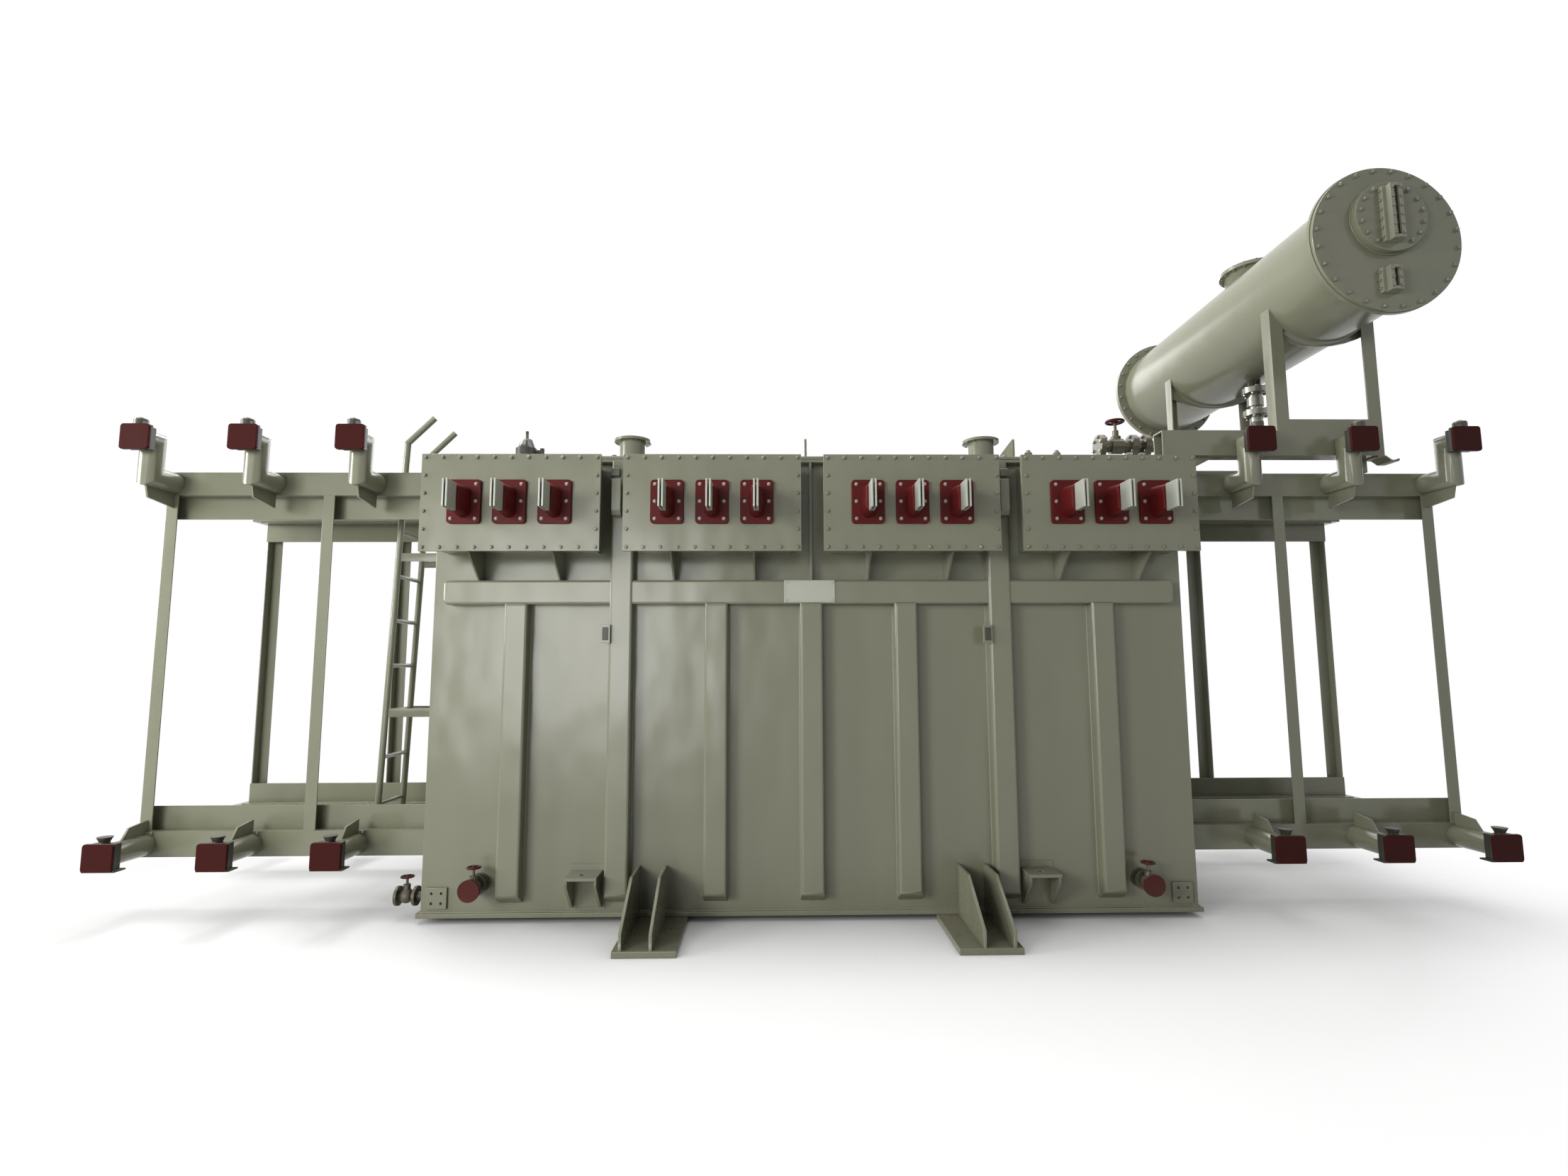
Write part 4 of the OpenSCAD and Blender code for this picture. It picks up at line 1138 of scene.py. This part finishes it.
@dataclass
class Conservator:
    """The oil conservator with its bolted ends, gauges, manhole and supports."""

    shop: Workshop
    support_edge: Pair = (0.003, 0.08)
    rim_radius: float = 0.371
    rim_count: int = 24
    flange: float = 0.020
    nut_out: float = 0.006
    pad_radius: float = 0.165
    pad_rim: float = 0.19
    pad_reach: float = 0.040
    pad_rise: float = 0.100
    pad_count: int = 16
    pad_ease: float = 0.005
    lip: Pair = (0.005, 0.008)
    ease: float = 0.003
    hatch_radius: float = 0.171
    hatch_count: int = 16
    bolt: HexBolt = HexBolt(0.019, 0.014, 0.025)
    screw: HexBolt = HexBolt(0.013, 0.009, 0.018)
    gauge_zone: Triple = (0.052, 0.060, 0.150)  # half width, depth, start above the node's foot
    gauge_deep: float = 0.054
    long_gauge: float = 0.296
    short_gauge: float = 0.132
    foot_share: float = 0.55
    bar_starts: Pair = (0.22, 0.70)
    bar_share: float = 0.22
    bar_deep: float = 0.6
    slot: Pair = (0.42, 0.72)
    end_deep: float = 0.58
    end_tall: float = 0.016
    end_proud: float = 0.003
    bar_ease: float = 0.002
    pane: Triple = (0.012, 0.035, 0.014)  # front and back below the frame's front, end gap
    screw_rows: tuple[int, int] = (6, 3)
    side_screw: float = 0.014

    def build(self) -> None:
        """Builds and dresses the conservator."""
        for node in ("conservator_shell", "conservator_rear_cover", "conservator_manhole"):
            self.shop.redress(node, Dressing.SHELL)
        self.shop.dress(self.front_cover(), Dressing.PAINT, "conservator_front_cover")
        self.shop.redress("conservator_support", Dressing.PAINT, *self.support_edge)
        self.shop.scatter("conservator_bolts", self.bolt.model(), self.bolt_places(), Dressing.BOLT_PAINT)
        self.shop.scatter("hatch_screws", self.screw.model(), self.hatch_places(), Dressing.BOLT_PAINT)
        frames, glasses = self.gauges()
        self.shop.dress(frames, Dressing.GAUGE, "conservator_gauges")
        self.shop.dress(glasses, Dressing.GLASS)
        self.shop.scatter("gauge_screws", self.screw.model(), self.screw_places(), Dressing.BOLT_PAINT)

    def front_cover(self) -> Piece:
        """Models the front end cover with its raised pad.

        Returns:
            The cover with the pad.
        """
        low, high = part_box("conservator_front_cover")
        x, z = (low.x + high.x) / 2.0, (low.z + high.z) / 2.0
        face = low.y + self.pad_reach
        disc = round_bar((x, high.y, z), (x, face, z), (high.x - low.x) / 2.0, 96, self.ease)
        middle = z + self.pad_rise
        root = (x, face + HAIR, middle)
        pad = round_bar(root, (x, low.y, middle), self.pad_rim, 64, self.pad_ease)
        out, reach = self.lip
        lip = round_bar(root, (x, face - reach, middle), self.pad_rim + out, 64, self.ease)
        return join("end_cover", [disc, pad, lip])

    def bolt_places(self) -> list[Matrix]:
        """Gives the places of the bolts and nuts on the end flanges and the pad, none behind the gauge.

        Returns:
            One place for each bolt head or nut.
        """
        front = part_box("conservator_front_cover")[0].y
        rear_low, rear_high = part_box("conservator_rear_cover")
        shell_low, shell_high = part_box("conservator_shell")
        x, z = (rear_low.x + rear_high.x) / 2.0, (rear_low.z + rear_high.z) / 2.0
        nuts = self.rim_radius + self.nut_out
        places = []
        for y, radius, normal in (
            (front + self.pad_reach, self.rim_radius, FRONT),
            (shell_low.y + self.flange, nuts, REAR),
            (rear_high.y, self.rim_radius, REAR),
            (shell_high.y - self.flange, nuts, FRONT),
        ):
            places += ring((x, y, z), radius, self.rim_count, normal, math.pi / self.rim_count)
        middle = (x, front, z + self.pad_rise)
        places += ring(middle, self.pad_radius, self.pad_count, FRONT, math.pi / self.pad_count)
        low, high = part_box("conservator_gauges")
        aside, deep, rise = self.gauge_zone
        middle = (low.x + high.x) / 2.0
        return [
            place for place in places
            if place.translation.y >= low.y + deep
            or abs(place.translation.x - middle) >= aside
            or place.translation.z <= low.z + rise
        ]

    def hatch_places(self) -> list[Matrix]:
        """Gives the places of the screws and nuts on the manhole's cover.

        Returns:
            One place for each screw head or nut.
        """
        low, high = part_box("conservator_manhole")
        x, y = (low.x + high.x) / 2.0, (low.y + high.y) / 2.0
        places = ring((x, y, high.z), self.hatch_radius, self.hatch_count, UP)
        return places + ring((x, y, low.z), self.hatch_radius, self.hatch_count, DOWN)

    def gauge_boxes(self) -> list[tuple[Vector, Vector]]:
        """Gives the box of the long gauge and of the short one.

        Returns:
            The lowest and highest corner of each.
        """
        low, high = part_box("conservator_gauges")
        boxes = []
        for y, foot, top in (
            (low.y, high.z - self.long_gauge, high.z),
            (low.y + self.pad_reach, low.z, low.z + self.short_gauge),
        ):
            boxes.append((Vector((low.x, y, foot)), Vector((high.x, y + self.gauge_deep, top))))
        return boxes

    def gauges(self) -> tuple[Piece, Piece]:
        """Models each gauge as a stepped frame with a slot for its dark glass.

        Returns:
            Both frames as one piece, and both glasses as one piece.
        """
        near, far, inset = self.pane
        parts, panes = [], []
        for low, high in self.gauge_boxes():
            deep, wide = high.y - low.y, high.x - low.x
            parts.append(block((low.x, low.y + deep * self.foot_share, low.z), high, self.ease))
            for share in self.bar_starts:
                left = low.x + wide * share
                corner = (left + wide * self.bar_share, low.y + deep * self.bar_deep, high.z)
                parts.append(block((left, low.y, low.z), corner, self.bar_ease))
            left, right = (low.x + wide * share for share in self.slot)
            for end in (low.z + HAIR, high.z - self.end_tall - HAIR):
                corner = (right, low.y + deep * self.end_deep, end + self.end_tall)
                parts.append(block((left, low.y - self.end_proud, end), corner, self.bar_ease))
            corner = (right, low.y + far, high.z - inset)
            panes.append(block((left, low.y + near, low.z + inset), corner, self.ease))
        return join("gauge_frames", parts), join("gauge_glasses", panes)

    def screw_places(self) -> Iterator[Matrix]:
        """Gives the places of the screws along each gauge's bars and on its side.

        Yields:
            One place for each screw.
        """
        for (low, high), count in zip(self.gauge_boxes(), self.screw_rows):
            for k in range(count):
                z = low.z + (high.z - low.z) * (k + 0.5) / count
                for share in self.bar_starts:
                    x = low.x + (high.x - low.x) * (share + self.bar_share / 2)
                    yield facing((x, low.y, z), FRONT, k)
                yield facing((low.x, (low.y + high.y) / 2.0 + self.side_screw, z), LEFT, k)


@dataclass
class Pipework:
    """The oil pipe and the valves low on the tank."""

    shop: Workshop
    pipe_edge: Pair = (0.002, 0.6)
    axis_rise: float = 0.075
    wheel_zone: Pair = (0.25, 0.145)  # from the left end, above the axis
    drop_zone: Pair = (0.16, 0.11)  # from the right end, above the axis
    disc: float = 0.0145
    wheel: float = 0.016
    slimmer: float = 0.84
    wheel_drop: float = 0.018
    bolt: HexBolt = HexBolt(0.017, 0.011, 0.024)
    bolt_ring: float = 0.060
    bolt_count: int = 6
    flange_pair: float = 0.036
    level_flanges: Triple = (0.0, 0.210, 0.294)
    drop_flanges: Pair = (3.138, 2.986)
    bolt_turns: Pair = (0.3, 0.2)

    def build(self) -> None:
        """Builds and dresses the pipes and valves."""
        self.oil_pipe()
        self.drains()
        tap = self.shop.copy_node("filter_valve")
        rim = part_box("filter_valve")[1].z - self.wheel
        knob = self.shop.split_off(tap, "filter_wheel", lambda m: m.z > rim)
        self.shop.dress(tap, Dressing.BRASS, "filter_valve")
        self.shop.dress(smooth(knob), Dressing.WHEEL_RED)

    def oil_pipe(self) -> None:
        """Builds and dresses the oil pipe, its wheel, its upper valve and its bolts."""
        pipe = self.shop.copy_node("oil_pipe", *self.pipe_edge)
        low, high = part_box("oil_pipe")
        level = low.z + self.axis_rise
        (reach, rise), (aside, lift) = self.wheel_zone, self.drop_zone
        wheel = self.shop.split_off(
            pipe, "oil_valve_wheel", lambda m: m.x < low.x + reach and m.z > level + rise
        )
        upper = self.shop.split_off(
            pipe, "oil_drop_valve", lambda m: m.x > high.x - aside and m.z > level + lift
        )
        self.shop.dress(pipe, Dressing.BRASS, "oil_pipe")
        self.shop.dress(smooth(wheel), Dressing.WHEEL_RED)
        self.shop.dress(smooth(upper), Dressing.STEEL)
        self.shop.scatter("pipe_flange_bolts", self.bolt.model(), self.flange_places(), Dressing.STEEL)

    def drains(self) -> None:
        """Builds and dresses the drain valves, drawn in towards their axes, their discs and wheels."""
        bodies = self.shop.copy_node("drain_valves")
        low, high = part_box("drain_valves")
        discs = self.shop.split_off(bodies, "drain_blanks", lambda m: m.y < low.y + self.disc)
        wheels = self.shop.split_off(bodies, "drain_wheels", lambda m: m.z > high.z - self.wheel)
        ratio = (self.slimmer, 1.0, self.slimmer)
        for side in SIDES:
            rim = [v.co for v in discs.data.vertices if v.co.x * side > 0.0]
            axis = (sum(rim, Vector()) / len(rim)).to_tuple()
            for piece in (discs, bodies, wheels):
                with editing(piece):
                    pick(piece, lambda at: at.x * side > 0.0)
                    if piece is wheels:
                        bpy.ops.transform.translate(value=(0.0, 0.0, -self.wheel_drop))
                    else:
                        bpy.ops.transform.resize(value=ratio, center_override=axis)
        self.shop.dress(bodies, Dressing.BRASS, "drain_valves")
        self.shop.dress(smooth(discs), Dressing.WHEEL_RED)
        self.shop.dress(smooth(wheels), Dressing.WHEEL_RED)

    def flange_places(self) -> Iterator[Matrix]:
        """Gives the places of the bolts on both outer faces of the oil pipe's flange pairs.

        Yields:
            One place for each bolt head.
        """
        low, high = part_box("oil_pipe")
        y, z = (low.y + high.y) / 2.0, low.z + self.axis_rise
        level_turn, drop_turn = self.bolt_turns
        faces = []
        for start in self.level_flanges:
            x = low.x + start
            faces += [((x, y, z), LEFT, level_turn), ((x + self.flange_pair, y, z), RIGHT, level_turn)]
        x = high.x - self.axis_rise
        for top in self.drop_flanges:
            faces += [((x, y, top), UP, drop_turn), ((x, y, top - self.flange_pair), DOWN, drop_turn)]
        for middle, normal, turn in faces:
            yield from ring(middle, self.bolt_ring, self.bolt_count, normal, turn)


@dataclass
class CoverFittings:
    """What stands on the cover, the ladder at the end wall and the bare plate."""

    shop: Workshop
    lug_edge: float = 0.002
    plate_rim: float = 0.006
    recess: Pair = (0.001, -0.0012)
    plate_ease: float = 0.001
    rivet: float = 0.006
    rivet_inset: float = 0.014
    rivet_span: Pair = (0.002, -0.003)
    rivet_ease: float = 0.002

    def build(self) -> None:
        """Builds and dresses the fittings."""
        self.shop.redress("pressure_relief", Dressing.DARK)
        self.shop.redress("cover_nozzles", Dressing.PAINT)
        self.shop.redress("lifting_lugs", Dressing.PAINT, self.lug_edge)
        self.shop.redress("ladder", Dressing.PAINT)
        self.shop.dress(self.plate(), Dressing.PLATE, "nameplate")

    def plate(self) -> Piece:
        """Models the bare plate with a raised rim and four rivets.

        Returns:
            The plate with its rivets.
        """
        low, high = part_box("nameplate")
        sheet = block(low, high)
        with editing(sheet, "FACE") as shape:
            for face in shape.faces:
                face.select_set(face.normal.y < -0.9)
            bmesh.update_edit_mesh(sheet.data)
            bpy.ops.mesh.inset(thickness=self.plate_rim, depth=0.0)
            bpy.ops.mesh.inset(thickness=self.recess[0], depth=self.recess[1])
        ease_edges(sheet, self.plate_ease, 2, keep=lambda m: m.y < low.y + HAIR / 2)
        parts = [smooth(sheet)]
        foot, top = low.y + self.rivet_span[0], low.y + self.rivet_span[1]
        for x in (low.x + self.rivet_inset, high.x - self.rivet_inset):
            for z in (low.z + self.rivet_inset, high.z - self.rivet_inset):
                parts.append(round_bar((x, foot, z), (x, top, z), self.rivet, 12, self.rivet_ease))
        return join("bare_plate", parts)


@dataclass(frozen=True)
class Camera:
    """The photograph's viewpoint."""

    at: Triple = (-0.2112, -4.6779, 1.325)
    yaw: float = 0.0165
    pitch: float = 0.1032
    roll: float = -0.0032
    focal_pixels: float = 1050.26
    reach: float = 200.0

    def place(self) -> None:
        """Adds the camera to the scene."""
        data = bpy.data.cameras.new("viewpoint")
        data.sensor_fit = "HORIZONTAL"
        data.sensor_width = SENSOR
        data.lens = SENSOR * self.focal_pixels / IMAGE_WIDTH
        data.clip_end = self.reach
        camera = bpy.data.objects.new("viewpoint", data)
        turn = Matrix.Rotation(-self.yaw, 4, "Z") @ Matrix.Rotation(math.pi / 2 + self.pitch, 4, "X")
        camera.matrix_world = Matrix.Translation(self.at) @ turn @ Matrix.Rotation(self.roll, 4, "Z")
        bpy.context.scene.collection.objects.link(camera)
        bpy.context.scene.camera = camera


@dataclass(frozen=True)
class Lamp:
    """A soft rectangular lamp aimed at a point."""

    name: str
    at: Triple
    aim: Triple
    size: Pair
    power: float
    mirrored: bool = True

    def place(self) -> None:
        """Adds the lamp to the scene."""
        data = bpy.data.lights.new(self.name, "AREA")
        data.shape = "RECTANGLE"
        data.size, data.size_y = self.size
        data.energy = self.power
        lamp = bpy.data.objects.new(self.name, data)
        lamp.visible_glossy = self.mirrored
        lamp.visible_camera = False
        way = Vector(self.aim) - Vector(self.at)
        lamp.matrix_world = Matrix.Translation(self.at) @ way.to_track_quat("-Z", "Y").to_matrix().to_4x4()
        bpy.context.scene.collection.objects.link(lamp)


@dataclass
class Studio:
    """The pale floor with its painted contact shadow, the soft light and the viewpoint."""

    camera: Camera = Camera()
    daylight: float = 0.10
    floor_size: float = 90.0
    floor_lighting: tuple[float, ...] = (0.56, 0.56, 0.55, 1.0)
    floor_colour: tuple[float, ...] = (0.92, 0.92, 0.91, 1.0)
    floor_gloss: Pair = (0.85, 0.1)
    # reach and strength of the painted contact shadow in the floor's glow
    shadow_reach: float = 0.9
    shadow_depth: float = 1.4
    oval: Triple = (0.31, 0.42, 0.0)
    oval_shift: Triple = (0.08, 0.0, 0.0)
    fade: Pair = (0.7, 1.35)
    least_glow: float = 0.55
    lamps: tuple[Lamp, ...] = (
        Lamp("key", (-5.2, -6.2, 2.9), (-0.4, -0.6, 1.1), (2.2, 2.2), 350.0, mirrored=False),
        Lamp("doorway", (-3.9, -11.0, 1.95), (-1.2, -0.7, 1.6), (4.4, 3.8), 350.0),
        Lamp("left", (-9.0, -2.6, 3.4), (0.0, 0.0, 1.8), (3.0, 3.0), 560.0),
        Lamp("flank", (-3.5, 1.6, 5.6), (2.9, 0.0, 3.5), (2.0, 2.0), 300.0),
        Lamp("fill", (6.5, -8.0, 4.5), (0.5, 0.0, 1.2), (5.0, 4.0), 8.0),
        Lamp("overhead", (0.0, 0.5, 9.0), (0.0, 0.0, 0.0), (10.0, 4.0), 640.0),
        Lamp("rear", (1.0, 9.0, 6.0), (0.0, 0.0, 1.2), (8.0, 4.0), 360.0),
    )

    def build(self) -> None:
        """Builds the camera, the lamps, the world and the floor."""
        bpy.context.scene.view_settings.view_transform = "Standard"
        self.camera.place()
        for lamp in self.lamps:
            lamp.place()
        self.sky()
        self.floor()

    @staticmethod
    def seen(sheet: Sheet) -> Socket:
        """Tells the rays that show a surface from the rays that only light others.

        Args:
            sheet: the node tree that needs the value.

        Returns:
            A socket that is 1 for seen, mirrored and see-through rays, else 0.
        """
        ray = sheet.add("ShaderNodeLightPath").outputs
        beyond = sheet.math("MAXIMUM", ray["Is Glossy Ray"], ray["Is Transmission Ray"])
        return sheet.math("MAXIMUM", ray["Is Camera Ray"], beyond)

    def sky(self) -> None:
        """Builds a world that lights softly and shows white behind the object."""
        world = bpy.data.worlds.new("soft_world")
        bpy.context.scene.world = world
        world.use_nodes = True
        sheet = Sheet(world.node_tree)
        strength = sheet.plus(sheet.times(self.seen(sheet), 1.0 - self.daylight), self.daylight)
        sheet.fill(world.node_tree.nodes["Background"], {"Color": WHITE, "Strength": strength})

    def floor(self) -> None:
        """Builds a wide pale floor that fades to white away from the object, with a contact shadow painted
        into its white glow by ambient occlusion.
        """
        clear_selection()
        bpy.ops.mesh.primitive_plane_add(size=self.floor_size, location=ORIGIN)
        floor = rename(settle(bpy.context.object), "floor")
        paint = bpy.data.materials.new("pale_floor")
        paint.use_nodes = True
        nodes = paint.node_tree.nodes
        sheet = Sheet(paint.node_tree)
        seen = self.seen(sheet)
        rough, shine = self.floor_gloss
        tone = sheet.blend(seen, self.floor_lighting, self.floor_colour)
        shader = nodes["Principled BSDF"]
        sheet.fill(shader, {"Base Color": tone, "Roughness": rough, "Specular IOR Level": shine})
        # painted shadow: ambient occlusion darkens the floor's white glow near and under the object
        shelter = sheet.add("ShaderNodeAmbientOcclusion", {"Distance": self.shadow_reach}, samples=12)
        strength = sheet.math("POWER", shelter.outputs["AO"], self.shadow_depth)
        glow = sheet.add("ShaderNodeEmission", {"Color": WHITE, "Strength": strength})
        where = sheet.add("ShaderNodeTexCoord").outputs["Object"]
        oval = sheet.mapped(where, self.oval, self.oval_shift)
        span = sheet.add("ShaderNodeVectorMath", {0: oval}, operation="LENGTH").outputs["Value"]
        far = sheet.times(sheet.math("MAXIMUM", sheet.ramp(span, *self.fade), self.least_glow), seen)
        mixed = sheet.add("ShaderNodeMixShader", {0: far, 1: shader.outputs[0], 2: glow.outputs[0]})
        sheet.fill(nodes["Material Output"], {"Surface": mixed.outputs[0]})
        floor.data.materials.append(paint)


def main() -> None:
    """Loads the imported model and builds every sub-assembly."""
    logging.basicConfig(level=logging.INFO, format="%(name)s: %(message)s")
    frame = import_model()
    shop = Workshop(frame["nodes"])
    shop.mix_paints()
    Studio().build()
    for assembly in (TankShell, LowVoltageFront, CoolingHeaders, Conservator, Pipework, CoverFittings):
        LOG.info("building %s", assembly.__name__)
        assembly(shop).build()
    clear_selection()
    bpy.context.view_layer.update()


if __name__ == "__main__":
    main()
